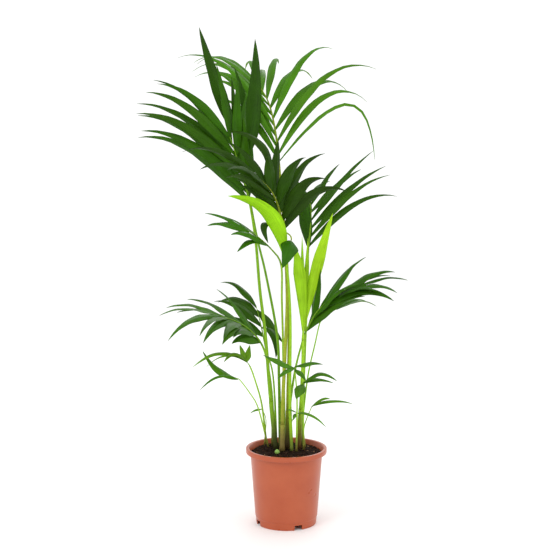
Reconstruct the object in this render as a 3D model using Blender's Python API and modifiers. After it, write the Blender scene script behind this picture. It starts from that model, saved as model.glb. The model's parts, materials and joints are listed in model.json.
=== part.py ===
"""Potted kentia palm: several slim seedlings in one nursery pot.

The pot is a turned plastic shell with a rolled lip, a foot ring and four drain
notches, filled with soil. Every leaf is a stalk (a tapering limb that rises from
the soil) and a frond (a rib with thin leaflets fused to it). Lengths are metres,
+Z is up, +X is to the right of the front view and the front looks along +Y.
"""
import math

import bmesh
import bpy
import numpy as np
from mathutils import Vector
from mathutils.bvhtree import BVHTree

# Clearance between solids that touch on the real plant
GAP = 0.0003

# Pot: a 21 cm nursery pot
POT_HEIGHT = 0.200
LIP_RADIUS = 0.105
LIP_HEIGHT = 0.013
LIP_WIDTH = 0.0085
LIP_ROUND = 0.002
LIP_TUCK = 0.0015
LIP_SHADOW = 0.0005
NECK_RADIUS = 0.0945
FOOT_RADIUS = 0.0795
FOOT_STEP = 0.0012
FOOT_STEP_HEIGHT = 0.020
FOOT_STEP_FALL = 0.0015
WALL = 0.0025
CENTRE_RADIUS = 0.048
FLOOR_UNDERSIDE = 0.014
FLOOR_THICKNESS = 0.003
NOTCH_WIDTH = 0.021
NOTCH_HEIGHT = 0.013
NOTCH_DEPTH = 0.030
NOTCH_TURN = math.radians(23)
NOTCH_COUNT = 4
TURN_STEPS = 40
SHARP_ANGLE = math.radians(35)

# Soil: flat round the stems and sunk towards the wall
SOIL_TOP = 0.192
SOIL_FLAT_RADIUS = 0.084
SOIL_EDGE_DROP = 0.007
SEED_RADIUS = 0.0065
SEED_RISE = 0.6
SEED_PLACE = (-0.024, -0.034)

# Limbs
GROUND = SOIL_TOP + GAP
FINE = 16
LIMB_POINT_SPACING = 0.045
LIMB_POINTS = 5
LIMB_TAPER_POWER = 1.4
COLLAR = 0.004
SHEATH_TAPER = 0.86
STALK_IN_SHEATH = 0.88
FLARE = 1.22
FLARE_HEIGHT = 0.018
FLAT_FOOT_REACH = 1.2
RIB_TIP_SHARE = 0.35
RIB_TIP_RADIUS = 0.0009

# Leaflets
LEAFLET_STEPS = 4
LEAFLET_THICKNESS = 0.0108
LEAFLET_TIP_WIDTH = 0.0012
LEAFLET_ROOT_WIDTH = 0.2
LEAFLET_TIP_POWER = 0.75
LEAFLET_PEAK = 0.42
RIDGE_TIP_SHARE = 0.30
LEVELLING = 2.0
UPRIGHT = 0.05
HEADING_SPREAD = 0.05
LENGTH_SPREAD = 0.04
CLEARANCE = 0.0008
FAN = 14.0
BEHIND = 0.0006
RIB_LOOK = 0.12
TURN_TRIES = (0, 7, -7, 14, -14, 22, -22, 32, -32)

# Mesh cleaning: corners closer than these are one
WELD = 1e-6
SLIVERS = (3e-5, 1e-5, 3e-6, 1e-4)

UP = np.array((0.0, 0.0, 1.0))
FRONT = (-0.05, -0.90, 0.45)


def row(count, sweep, reach, droop, width=(0.018, 0.022, 0.016), on=(0.05, 0.97), lift=(0, 0)):
    """One side of a frond; each range runs from the base of the rib to its tip.

    sweep is the angle in degrees between a leaflet and the rib, reach its length,
    droop how strongly it bends down, on the stretch of the rib that carries it and
    lift the angle in degrees that it stands out of the plane of the frond.
    """
    return dict(count=count, sweep=sweep, reach=reach, droop=droop, width=width, on=on, lift=lift)


def blade(at, tip, bow, width, peak=0.42):
    """A single blade from the rib to a tip, bowed at its middle and widest at peak."""
    return dict(at=at, tip=tip, bow=bow, width=width, peak=peak)


# Each leaf has a stalk from the soil, a rib, the side that its upper face looks to,
# the radius of the stalk at foot and collar, and its leaflets and blades.
LEAVES = {
    "high_right": dict(
        size=(0.0065, 0.0035), sheath=0.10,
        stalk=[(0.003, 0.020, GROUND), (0.004, 0.025, 0.320), (0.007, 0.030, 0.504),
               (0.001, 0.040, 0.680), (-0.014, 0.050, 0.865)],
        rib=[(-0.019, 0.060, 0.928), (-0.027, 0.080, 1.004),
             (-0.045, 0.130, 1.083), (-0.077, 0.200, 1.139)],
        face=FRONT,
        left=row(9, (24, 24, 8), (0.27, 0.35, 0.35), (2.2, 2.1, 1.8)),
        right=row(8, (36, 38, 28, 14), (0.37, 0.35, 0.27, 0.20), (3.6, 3.0, 3.0, 3.0),
                  (0.020, 0.024, 0.024, 0.018), on=(0.10, 0.97)),
        blades=[blade(0.03, (0.224, 0.020, 0.944), (0.05, -0.01, 0.145), 0.012)],
    ),
    "high_left": dict(
        size=(0.0065, 0.0035), sheath=0.13,
        stalk=[(-0.027, 0.010, GROUND), (-0.043, 0.000, 0.352), (-0.054, -0.010, 0.498),
               (-0.068, -0.010, 0.615), (-0.078, -0.005, 0.735)],
        rib=[(-0.092, 0.000, 0.831), (-0.110, -0.005, 0.900),
             (-0.127, -0.015, 0.958), (-0.142, -0.030, 1.004)],
        face=FRONT,
        left=row(8, (30, 27, 17), (0.33, 0.32, 0.26), (1.9, 1.6, 1.7), (0.030, 0.026, 0.022)),
        right=row(5, (15, 20, 12), (0.16, 0.20, 0.20), (1.0, 1.0), (0.030, 0.030, 0.020),
                  on=(0.1, 0.9)),
    ),
    "high_middle": dict(
        size=(0.0045, 0.0028),
        stalk=[(-0.016, 0.035, GROUND), (-0.019, 0.050, 0.367), (-0.024, 0.060, 0.485),
               (-0.053, 0.070, 0.642), (-0.074, 0.070, 0.731)],
        rib=[(-0.092, 0.070, 0.825), (-0.104, 0.070, 0.889),
             (-0.119, 0.060, 0.954), (-0.129, 0.050, 1.005)],
        face=(0.2, -0.9, 0.3),
        blades=[blade(0.97, (-0.217, -0.020, 1.274), (-0.010, 0.0, 0.020), 0.036),
                blade(0.60, (-0.080, 0.070, 1.248), (0.014, 0.0, -0.010), 0.050, peak=0.3),
                blade(0.85, (-0.140, 0.060, 1.152), (0.0, 0.0, 0.0), 0.018),
                blade(0.50, (-0.135, 0.110, 1.178), (0.020, 0.0, 0.0), 0.028)],
    ),
    "middle": dict(
        size=(0.0070, 0.0038), sheath=0.07,
        stalk=[(-0.011, -0.005, GROUND), (-0.009, -0.010, 0.328),
               (-0.001, -0.020, 0.513), (0.001, -0.030, 0.618)],
        rib=[(-0.007, -0.040, 0.759), (-0.019, -0.050, 0.823),
             (-0.037, -0.080, 0.870), (-0.066, -0.120, 0.905)],
        face=(0.1, -0.7, 0.7),
        left=row(6, (26, 20, 3), (0.15, 0.25, 0.31), (1.4, 1.5, 1.5), (0.026, 0.022, 0.018),
                 on=(0.20, 0.97)),
        right=row(6, (40, 35, 24), (0.20, 0.19, 0.13), (3.2, 2.5, 2.2), (0.032, 0.036, 0.032),
                  on=(0.08, 0.66), lift=(25, 30)),
        blades=[blade(0.70, (-0.138, -0.060, 1.020), (0.032, 0.0, 0.032), 0.024, peak=0.6),
                blade(0.85, (-0.140, -0.080, 0.993), (0.010, 0.0, 0.006), 0.022),
                blade(0.10, (-0.046, -0.120, 0.748), (-0.027, 0.0, 0.030), 0.024)],
    ),
    "middle_right": dict(
        size=(0.0055, 0.0030), sheath=0.08,
        stalk=[(0.042, 0.055, GROUND), (0.044, 0.065, 0.310),
               (0.052, 0.070, 0.523), (0.056, 0.060, 0.643)],
        rib=[(0.056, 0.050, 0.710), (0.061, 0.060, 0.756),
             (0.064, 0.080, 0.803), (0.060, 0.120, 0.838)],
        face=FRONT,
        left=row(4, (16, 22, 26), (0.17, 0.155, 0.12), (1.0, 1.0, 1.2), (0.034, 0.034, 0.024)),
        right=row(7, (33, 36, 34, 28), (0.29, 0.27, 0.22, 0.14), (2.2, 1.0, 0.8, 1.2), (0.018, 0.018)),
    ),
    "young_left": dict(
        size=(0.0045, 0.0030),
        stalk=[(0.014, -0.006, GROUND), (0.009, -0.014, 0.329),
               (0.010, -0.034, 0.515), (0.006, -0.048, 0.620)],
        rib=[(-0.001, -0.062, 0.691), (-0.006, -0.070, 0.712)],
        face=(-0.3, -0.9, 0.3),
        blades=[blade(0.9, (-0.143, -0.160, 0.867), (0.030, 0.0, 0.032), 0.040)],
    ),
    "young_right": dict(
        size=(0.0065, 0.0040), sheath=0.11,
        stalk=[(0.032, 0.020, GROUND), (0.038, 0.000, 0.325), (0.042, -0.010, 0.433)],
        rib=[(0.042, -0.020, 0.487), (0.043, -0.022, 0.526)],
        face=(0.0, -1.0, 0.2),
        blades=[blade(0.6, (0.021, -0.050, 0.730), (0.006, 0.0, 0.0), 0.032, peak=0.7),
                blade(0.9, (0.039, -0.020, 0.754), (0.0, 0.0, 0.0), 0.014),
                blade(0.9, (0.054, -0.020, 0.749), (0.0, 0.0, 0.0), 0.014),
                blade(0.8, (0.116, -0.030, 0.813), (-0.005, 0.0, 0.0), 0.030, peak=0.6)],
    ),
    "small_left": dict(
        size=(0.0040, 0.0025),
        stalk=[(-0.006, 0.045, GROUND), (-0.006, 0.045, 0.315),
               (-0.009, 0.010, 0.481), (-0.012, -0.030, 0.592)],
        rib=[(-0.014, -0.060, 0.686), (-0.037, -0.080, 0.726),
             (-0.071, -0.110, 0.762), (-0.095, -0.130, 0.779)],
        face=(0.2, -0.4, 0.9),
        left=row(2, (18, 8), (0.14, 0.14), (1.3, 1.2), (0.030, 0.028), on=(0.6, 0.98)),
        right=row(2, (22, 12), (0.14, 0.13), (1.3, 1.2), (0.030, 0.028), on=(0.5, 0.99)),
        blades=[blade(0.4, (-0.121, -0.170, 0.732), (0.0, 0.0, 0.025), 0.028)],
    ),
    "hanging": dict(
        size=(0.0022, 0.0018),
        stalk=[(-0.0070, -0.0452, 0.767), (0.002, -0.068, 0.766), (0.010, -0.092, 0.761)],
        rib=[(0.011, -0.106, 0.755), (0.008, -0.116, 0.749)],
        face=(0.1, -1.0, 0.2),
        blades=[blade(0.4, (-0.011, -0.165, 0.692), (0.006, -0.012, 0.012), 0.048, peak=0.3)],
    ),
    "low_right": dict(
        size=(0.0040, 0.0026),
        stalk=[(0.000, 0.056, GROUND), (0.010, 0.060, 0.298),
               (0.023, 0.040, 0.396), (0.040, 0.010, 0.473)],
        rib=[(0.047, -0.010, 0.501), (0.077, -0.040, 0.563),
             (0.116, -0.080, 0.605), (0.160, -0.130, 0.635)],
        face=(-0.3, -0.6, 0.8),
        left=row(7, (34, 20, 5), (0.11, 0.17, 0.18), (0.4, 1.5, 1.3), (0.038, 0.030, 0.022)),
        right=row(6, (14, 13, 8), (0.24, 0.22, 0.19), (1.4, 1.3, 1.2), (0.024, 0.026, 0.018)),
    ),
    "low_far_right": dict(
        size=(0.0028, 0.0018),
        stalk=[(0.036, 0.040, GROUND), (0.044, 0.036, 0.277),
               (0.057, 0.045, 0.382), (0.075, 0.075, 0.456)],
        rib=[(0.092, 0.120, 0.514), (0.111, 0.130, 0.529), (0.136, 0.150, 0.539)],
        face=(-0.3, -0.4, 0.9),
        left=row(2, (15, 8), (0.15, 0.13), (2.0, 1.8)),
        right=row(2, (8, 5), (0.16, 0.14), (2.0, 2.0)),
    ),
    "low_left": dict(
        size=(0.0045, 0.0028),
        stalk=[(-0.035, 0.045, GROUND), (-0.037, 0.040, 0.316), (-0.048, 0.030, 0.411)],
        rib=[(-0.063, 0.020, 0.466), (-0.091, -0.010, 0.508),
             (-0.125, -0.060, 0.541), (-0.165, -0.130, 0.568)],
        face=(0.2, -0.5, 0.8),
        left=row(7, (28, 22, 8), (0.13, 0.20, 0.27), (1.6, 1.4, 1.3), (0.030, 0.028, 0.018)),
        right=row(7, (30, 20, 8), (0.15, 0.19, 0.23), (1.5, 1.3, 1.2), (0.032, 0.030, 0.018)),
    ),
    "low_back_left": dict(
        size=(0.0035, 0.0022),
        stalk=[(-0.026, 0.066, GROUND), (-0.030, 0.080, 0.307), (-0.037, 0.090, 0.385)],
        rib=[(-0.053, 0.100, 0.437), (-0.067, 0.120, 0.501), (-0.080, 0.150, 0.547)],
        face=(0.1, -0.6, 0.7),
        left=row(4, (40, 33, 20), (0.14, 0.16, 0.14), (1.4, 2.6, 2.6), (0.026, 0.028, 0.022),
                 on=(0.3, 0.97)),
        blades=[blade(0.9, (-0.008, 0.120, 0.452), (-0.004, 0.0, 0.012), 0.026),
                blade(0.5, (-0.027, 0.060, 0.424), (0.015, 0.0, 0.020), 0.026)],
    ),
    "pale_left": dict(
        size=(0.0030, 0.0020),
        stalk=[(-0.052, 0.060, GROUND), (-0.064, 0.040, 0.303), (-0.081, 0.000, 0.378)],
        rib=[(-0.093, -0.020, 0.417), (-0.103, -0.030, 0.434)],
        face=(0.2, -0.5, 0.8),
        blades=[blade(0.5, (-0.158, -0.080, 0.442), (0.0, 0.0, 0.025), 0.020),
                blade(0.8, (-0.235, -0.100, 0.433), (0.0, 0.0, 0.030), 0.016),
                blade(0.9, (-0.119, -0.030, 0.476), (0.0, 0.0, 0.0), 0.020),
                blade(0.9, (-0.207, 0.000, 0.412), (0.0, 0.0, 0.025), 0.012),
                blade(0.9, (-0.094, 0.000, 0.470), (0.0, 0.0, 0.0), 0.018)],
    ),
    "lowest_left": dict(
        size=(0.0025, 0.0014),
        stalk=[(-0.047, 0.030, GROUND), (-0.073, 0.000, 0.304), (-0.094, -0.020, 0.348)],
        rib=[(-0.119, -0.040, 0.387), (-0.129, -0.045, 0.392)],
        face=(0.2, -0.5, 0.8),
        blades=[blade(0.5, (-0.214, -0.020, 0.458), (-0.006, 0.0, -0.012), 0.024),
                blade(0.9, (-0.218, -0.100, 0.374), (0.0, 0.0, 0.020), 0.010)],
    ),
    "small_centre": dict(
        size=(0.0028, 0.0018),
        stalk=[(0.026, -0.012, GROUND), (0.027, -0.030, 0.332)],
        rib=[(0.021, -0.050, 0.415), (0.020, -0.055, 0.424)],
        face=(0.0, -0.5, 0.8),
        blades=[blade(0.5, (-0.059, -0.090, 0.462), (0.0, 0.0, 0.0), 0.026),
                blade(0.9, (0.091, -0.090, 0.438), (0.0, 0.0, 0.006), 0.018),
                blade(0.5, (-0.023, -0.110, 0.405), (0.0, 0.0, 0.006), 0.016),
                blade(0.2, (0.049, -0.090, 0.395), (0.0, 0.0, 0.005), 0.016)],
    ),
    "small_right": dict(
        size=(0.0028, 0.0018),
        stalk=[(0.045, 0.005, GROUND), (0.043, -0.010, 0.301)],
        rib=[(0.042, -0.030, 0.372), (0.043, -0.035, 0.378)],
        face=(0.0, -0.5, 0.8),
        blades=[blade(0.5, (0.127, -0.070, 0.391), (0.0, 0.0, 0.022), 0.020),
                blade(0.9, (0.122, -0.010, 0.372), (0.0, 0.0, 0.010), 0.016),
                blade(0.2, (0.024, -0.090, 0.349), (0.0, 0.0, 0.005), 0.030)],
    ),
    "lowest_right": dict(
        size=(0.0018, 0.0012),
        stalk=[(0.050, 0.028, GROUND), (0.046, 0.020, 0.246)],
        rib=[(0.064, 0.000, 0.304), (0.066, 0.000, 0.309)],
        face=(0.0, -0.5, 0.8),
        blades=[blade(0.5, (0.112, -0.030, 0.335), (0.0, 0.0, 0.010), 0.016),
                blade(0.9, (0.172, 0.000, 0.315), (0.0, 0.0, 0.011), 0.012)],
    ),
    "tiny_middle": dict(
        size=(0.0018, 0.0012),
        stalk=[(0.017, 0.022, GROUND), (0.012, 0.015, 0.255)],
        rib=[(0.025, 0.000, 0.288), (0.028, -0.003, 0.292)],
        face=(0.0, -0.5, 0.8),
        blades=[blade(0.5, (0.101, -0.050, 0.266), (0.0, -0.020, 0.018), 0.010),
                blade(0.9, (0.001, -0.040, 0.309), (0.0, 0.0, 0.004), 0.012),
                blade(0.5, (0.017, -0.040, 0.282), (0.0, 0.0, 0.004), 0.012)],
    ),
    "tiny_left": dict(
        size=(0.0016, 0.0010),
        stalk=[(-0.058, 0.045, GROUND), (-0.053, 0.040, 0.262)],
        rib=[(-0.063, 0.020, 0.294), (-0.067, 0.017, 0.297)],
        face=(0.0, -0.5, 0.8),
        blades=[blade(0.5, (-0.094, 0.000, 0.290), (0.0, 0.0, 0.004), 0.008)],
    ),
    "spear": dict(
        size=(0.0035, 0.0008),
        stalk=[(0.012, 0.042, GROUND), (0.010, 0.046, 0.312), (0.008, 0.050, 0.472)],
        rib=[(0.009, 0.050, 0.596)],
        face=FRONT,
    ),
}


# Growth rule

def unit(v):
    return v / np.linalg.norm(v)


def ramp(values, t):
    """Value at share t of a range named from base to tip."""
    return float(np.interp(t, np.linspace(0, 1, len(values)), values))


def course(knots):
    """Smooth curve through the knots: fine points and the distance run to each."""
    p = np.array(knots, float)
    p = np.vstack((2 * p[0] - p[1], p, 2 * p[-1] - p[-2]))
    fine = []
    for a, b, c, d in zip(p, p[1:], p[2:], p[3:]):
        for t in np.linspace(0, 1, FINE, endpoint=False):
            bend = (2 * a - 5 * b + 4 * c - d) * t**2 + (3 * b - a - 3 * c + d) * t**3
            fine.append(0.5 * (2 * b + (c - a) * t + bend))
    fine = np.array(fine + [p[-2]])
    run = np.concatenate(([0.0], np.cumsum(np.linalg.norm(np.diff(fine, axis=0), axis=1))))
    return fine, run


def stretch(curve, start, end, count):
    """Evenly spaced points on a curve between two distances along it."""
    fine, run = curve
    want = np.linspace(start, end, count)
    return np.column_stack([np.interp(want, run, fine[:, k]) for k in range(3)])


def drooping(root, heading, wide, length, droop, steps):
    """Centre line of a leaflet that bends down and turns its width level on the way."""
    d = unit(heading)
    w = unit(wide - d * (wide @ d))
    line, across = [np.array(root)], [w]
    for k in range(FINE):
        t = (k + 0.5) / FINE
        d = unit(d - UP * droop * t / FINE)
        level = np.cross(d, UP)
        if np.linalg.norm(level) > UPRIGHT:
            level = unit(level) * (1 if level @ w >= 0 else -1)
            w = w + level * LEVELLING * t / FINE
        w = unit(w - d * (w @ d))
        line.append(line[-1] + d * length / FINE)
        across.append(w)
    return np.array(line)[::FINE // steps], np.array(across)[::FINE // steps]


def bowed(root, tip, bow, face, steps):
    """Centre line of a single blade from root to tip, with its width across the face."""
    root, tip = np.array(root), np.array(tip, float)
    crest = (root + tip) / 2 + 2 * np.array(bow)
    share = np.linspace(0, 1, FINE + 1)[:, None]
    curve = root * (1 - share) ** 2 + crest * 2 * share * (1 - share) + tip * share**2
    run = np.concatenate(([0.0], np.cumsum(np.linalg.norm(np.diff(curve, axis=0), axis=1))))
    line = stretch((curve, run), 0.0, run[-1], steps + 1)
    w = np.cross(tip - root, face)
    across = []
    for k in range(len(line)):
        d = unit(line[min(k + 1, steps)] - line[max(k - 1, 0)])
        w = unit(w - d * (w @ d))
        across.append(w)
    return line, np.array(across)


def turned(v, angle):
    """A direction turned about the upright axis, in degrees."""
    c, s = math.cos(math.radians(angle)), math.sin(math.radians(angle))
    return np.array((c * v[0] - s * v[1], s * v[0] + c * v[1], v[2]))


def frond_plan(leaf, rib, steps, seed):
    """For each leaflet of a frond, a function of its turn that gives its blade."""
    rng = np.random.default_rng(seed)
    face = unit(np.array(leaf["face"], float))
    run = np.concatenate(([0.0], np.cumsum(np.linalg.norm(np.diff(rib, axis=0), axis=1))))

    def on_rib(at):
        near = [min(max(at + step, 0.0), 1.0) * run[-1] for step in (0.0, -RIB_LOOK, RIB_LOOK)]
        here, before, after = (np.array([np.interp(q, run, rib[:, k]) for k in range(3)]) for q in near)
        return here, unit(after - before)

    plans = []
    for side in (-1, 1):
        half = leaf.get("left" if side < 0 else "right")
        for k in range(half["count"] if half else 0):
            t = k / max(half["count"] - 1, 1)
            root, along = on_rib(ramp(half["on"], t))
            up = unit(face - along * (face @ along))
            out = np.cross(along, up) * side
            a = math.radians(ramp(half["sweep"], t))
            lift = math.radians(ramp(half["lift"], t) + (FAN if k % 2 else -FAN))
            heading = math.cos(a) * along + math.sin(a) * (math.cos(lift) * out + math.sin(lift) * up)
            heading = heading + rng.uniform(-HEADING_SPREAD, HEADING_SPREAD, 3)
            length = ramp(half["reach"], t) * (1 + rng.uniform(-LENGTH_SPREAD, LENGTH_SPREAD))
            droop = ramp(half["droop"], t)
            plans.append((
                lambda turn, r=root, h=heading, a=along, n=length, d=droop:
                drooping(r - unit(turned(h, turn)) * BEHIND, turned(h, turn), a, n, d, steps),
                ramp(half["width"], t), LEAFLET_PEAK))
    for one in leaf.get("blades", ()):
        root, along = on_rib(one["at"])
        plans.append((
            lambda turn, r=root, b=one:
            bowed(r - unit(np.array(b["tip"]) - r) * BEHIND, r + turned(np.array(b["tip"]) - r, turn),
                  b["bow"], face, steps),
            one["width"], one["peak"]))
    return plans


def outline(t, peak):
    """Width of a leaflet at share t of its length, as a share of its greatest width."""
    if t < peak:
        return LEAFLET_ROOT_WIDTH + (1 - LEAFLET_ROOT_WIDTH) * math.sin(t / peak * math.pi / 2)
    return max(1 - (t - peak) / (1 - peak), 0.0) ** LEAFLET_TIP_POWER


def sections(line, across, width, peak, face):
    """Half width, ridge height and their directions at each point of a leaflet."""
    steps = len(line) - 1
    length = np.linalg.norm(np.diff(line, axis=0), axis=1).sum()
    out = []
    upper = face
    for k, (place, w) in enumerate(zip(line, across)):
        d = unit(line[min(k + 1, steps)] - line[max(k - 1, 0)])
        n = np.cross(w, d)
        n = unit(n if n @ upper >= 0 else -n)
        upper = n
        share = outline(k / steps, peak)
        half = max(width * share, LEAFLET_TIP_WIDTH) / 2
        ridge = LEAFLET_THICKNESS * length * (RIDGE_TIP_SHARE + (1 - RIDGE_TIP_SHARE) * share)
        out.append((place, w, n, half, ridge))
    return out


# Clear space between the leaves

def tube_faces(line, radii, sides=6):
    """Vertices and faces of a tube round a limb, for the space test."""
    verts, faces = [], []
    for k, (place, r) in enumerate(zip(line, radii)):
        d = unit(line[min(k + 1, len(line) - 1)] - line[max(k - 1, 0)])
        u = unit(np.cross(d, UP if abs(d[2]) < 0.9 else np.array((1.0, 0.0, 0.0))))
        v = np.cross(d, u)
        for m in range(sides):
            a = 2 * math.pi * m / sides
            verts.append(place + (u * math.cos(a) + v * math.sin(a)) * r)
        if k:
            for m in range(sides):
                n = (m + 1) % sides
                faces.append(((k - 1) * sides + m, (k - 1) * sides + n, k * sides + n, k * sides + m))
    return verts, faces


def blade_faces(profile, margin):
    """Vertices and faces of a leaflet swollen by a margin, for the space test."""
    verts, faces = [], []
    for k, (place, w, n, half, ridge) in enumerate(profile):
        verts += [place - w * (half + margin), place + n * (ridge + margin),
                  place + w * (half + margin), place - n * margin]
        if k:
            for m in range(4):
                p = (m + 1) % 4
                faces.append(((k - 1) * 4 + m, (k - 1) * 4 + p, k * 4 + p, k * 4 + m))
    return verts, faces


def tree(verts, faces):
    return BVHTree.FromPolygons([Vector(v) for v in verts], faces)


def grow_limbs():
    """Centre line and radii of the stem, stalk and rib of every leaf."""
    limbs = {}
    for name, leaf in LEAVES.items():
        curve = course(leaf["stalk"] + leaf["rib"])
        collar = curve[1][FINE * len(leaf["stalk"])]
        finish = curve[1][-1]
        r0, r1 = leaf["size"]
        has_rib = len(leaf["rib"]) > 1
        pieces = {}
        start = 0.0
        if leaf.get("sheath"):
            share = np.linspace(0, 1, LIMB_POINTS)
            radii = [r0 * (1 - (1 - SHEATH_TAPER) * t) for t in share]
            pieces["stem"] = (stretch(curve, 0.0, leaf["sheath"], LIMB_POINTS), radii)
            start = leaf["sheath"] + GAP
            r0 *= SHEATH_TAPER * STALK_IN_SHEATH
        end = collar - GAP if has_rib else finish
        count = max(LIMB_POINTS, round((end - start) / LIMB_POINT_SPACING) + 1)
        line = stretch(curve, start, end, count)
        radii = [r1 + (r0 - r1) * (1 - k / (count - 1)) ** LIMB_TAPER_POWER for k in range(count)]
        if has_rib:
            line = np.vstack((line[:-1], stretch(curve, end - COLLAR, end - COLLAR, 1), line[-1:]))
            radii = radii[:-1] + [r1, r1]
        pieces["stalk"] = (line, radii)
        if leaf["stalk"][0][2] == GROUND:
            lowest = "stem" if "stem" in pieces else "stalk"
            line, radii = pieces[lowest]
            line = np.vstack((line[:1], stretch(curve, FLARE_HEIGHT, FLARE_HEIGHT, 1), line[1:]))
            pieces[lowest] = (line, [radii[0] * FLARE] + radii)
        if has_rib:
            count = max(3, round((finish - collar) / LIMB_POINT_SPACING) + 2)
            line = stretch(curve, collar, finish, count)
            thinning = (1 - RIB_TIP_SHARE) / (count - 1)
            radii = [max(r1 * (1 - thinning * k), RIB_TIP_RADIUS) for k in range(count)]
            near = collar + min(COLLAR, (finish - collar) / (2 * count))
            line = np.vstack((line[:1], stretch(curve, near, near, 1), line[1:]))
            pieces["rib"] = (line, radii[:1] + radii)
        limbs[name] = pieces
    return limbs


def grow_leaflets(limbs, steps):
    """Leaflets of every frond; one that finds no clear place at any turn is left out."""
    space = {}
    for name, pieces in limbs.items():
        space[name] = [tree(*tube_faces(line, radii)) for line, radii in pieces.values()]
    leaflets = {}
    for seed, (name, leaf) in enumerate(LEAVES.items()):
        leaflets[name] = []
        if "rib" not in limbs[name]:
            continue
        own = []
        face = unit(np.array(leaf["face"], float))
        others = [one for other, trees in space.items() if other != name for one in trees]
        others += space[name][:-1]
        for place, width, peak in frond_plan(leaf, limbs[name]["rib"][0], steps, seed):
            for turn in TURN_TRIES:
                profile = sections(*place(turn), width, peak, face)
                shape = tree(*blade_faces(profile, CLEARANCE))
                if not any(shape.overlap(one) for one in others):
                    leaflets[name].append(profile)
                    own.append(shape)
                    break
        space[name] += own
    return leaflets


# Modelling

def clear_scene():
    for thing in list(bpy.data.objects):
        bpy.data.objects.remove(thing, do_unlink=True)


def material(name, colour, roughness, metallic=0.0):
    """Principled material with a base colour, roughness and metallic value."""
    mat = bpy.data.materials.new(name)
    mat.use_nodes = True
    shader = mat.node_tree.nodes["Principled BSDF"]
    shader.inputs["Base Color"].default_value = (*colour, 1.0)
    shader.inputs["Roughness"].default_value = roughness
    shader.inputs["Metallic"].default_value = metallic
    return mat


def link(name, mesh, collection, mat=None):
    thing = bpy.data.objects.new(name, mesh)
    collection.objects.link(thing)
    if mat:
        mesh.materials.clear()
        mesh.materials.append(mat)
    return thing


def evaluated_mesh(thing):
    """Mesh of an object with its curve or modifiers applied and its doubles merged."""
    bpy.context.view_layer.update()
    seen = thing.evaluated_get(bpy.context.evaluated_depsgraph_get())
    mesh = bpy.data.meshes.new_from_object(seen)
    bm = bmesh.new()
    bm.from_mesh(mesh)
    bmesh.ops.remove_doubles(bm, verts=bm.verts, dist=WELD)
    bmesh.ops.recalc_face_normals(bm, faces=bm.faces)
    bm.to_mesh(mesh)
    bm.free()
    return mesh


def closed(bm):
    return all(len(edge.link_faces) == 2 for edge in bm.edges)


def triangulated(mesh):
    """Splits a fused mesh into triangles without slivers, and keeps it closed."""
    for sliver in SLIVERS:
        for method in ("BEAUTY", "EAR_CLIP"):
            bm = bmesh.new()
            bm.from_mesh(mesh)
            bmesh.ops.triangulate(bm, faces=bm.faces, ngon_method=method)
            bmesh.ops.dissolve_degenerate(bm, dist=sliver, edges=bm.edges)
            bmesh.ops.triangulate(bm, faces=bm.faces, ngon_method=method)
            drop_folded(bm)
            good = closed(bm)
            if good:
                bm.to_mesh(mesh)
            bm.free()
            if good:
                return True
    return False


def drop_folded(bm):
    """Removes pairs of triangles that lie back to back on the same three corners."""
    bm.verts.index_update()
    seen = {}
    for face in bm.faces:
        seen.setdefault(frozenset(vert.index for vert in face.verts), []).append(face)
    folded = [face for same in seen.values() if len(same) == 2 for face in same]
    bmesh.ops.delete(bm, geom=folded, context="FACES")


def baked(thing, name, collection, mat):
    """A finished object that stands in for one with live modifiers."""
    mesh = evaluated_mesh(thing)
    data = thing.data
    bpy.data.objects.remove(thing, do_unlink=True)
    done = link(name, mesh, collection, mat)
    if isinstance(data, bpy.types.Mesh):
        bpy.data.meshes.remove(data)
    else:
        bpy.data.curves.remove(data)
    return done


def limb(name, line, radii, collection, mat=None, resolution=1):
    """Tapering limb: a curve with a bevel and filled caps."""
    curve = bpy.data.curves.new(name, "CURVE")
    curve.dimensions = "3D"
    curve.bevel_depth = 1.0
    curve.bevel_resolution = resolution
    curve.use_fill_caps = True
    path = curve.splines.new("POLY")
    path.points.add(len(line) - 1)
    for point, place, radius in zip(path.points, line, radii):
        point.co = (*place, 1.0)
        point.radius = radius
    thing = bpy.data.objects.new(name, curve)
    collection.objects.link(thing)
    done = baked(thing, name, collection, mat)
    if line[0][2] == GROUND:
        for vert in done.data.vertices:
            if (vert.co - Vector(line[0])).length < radii[0] * FLAT_FOOT_REACH:
                vert.co.z = GROUND
    return done


def leaflet(name, profile, collection):
    """Thin ridged blade: a flat triangle drawn out along the leaflet's sections."""
    bm = bmesh.new()
    corner = bm.verts.layers.int.new("corner")
    bmesh.ops.create_circle(bm, cap_ends=True, segments=3, radius=1.0)
    ring = list(bm.verts)
    for number, vert in enumerate(ring):
        vert[corner] = number
    cap = bm.faces[:][0]
    for k, (place, w, n, half, ridge) in enumerate(profile):
        if k:
            drawn = bmesh.ops.extrude_face_region(bm, geom=[cap])["geom"]
            if k > 1:
                bmesh.ops.delete(bm, geom=[cap], context="FACES_ONLY")
            ring = [part for part in drawn if isinstance(part, bmesh.types.BMVert)]
            cap = next(part for part in drawn if isinstance(part, bmesh.types.BMFace))
        corners = (place - w * half, place + w * half, place + n * ridge)
        for vert in ring:
            vert.co = Vector(corners[vert[corner]])
    bmesh.ops.recalc_face_normals(bm, faces=bm.faces)
    mesh = bpy.data.meshes.new(name)
    bm.to_mesh(mesh)
    bm.free()
    return link(name, mesh, collection)


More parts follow.
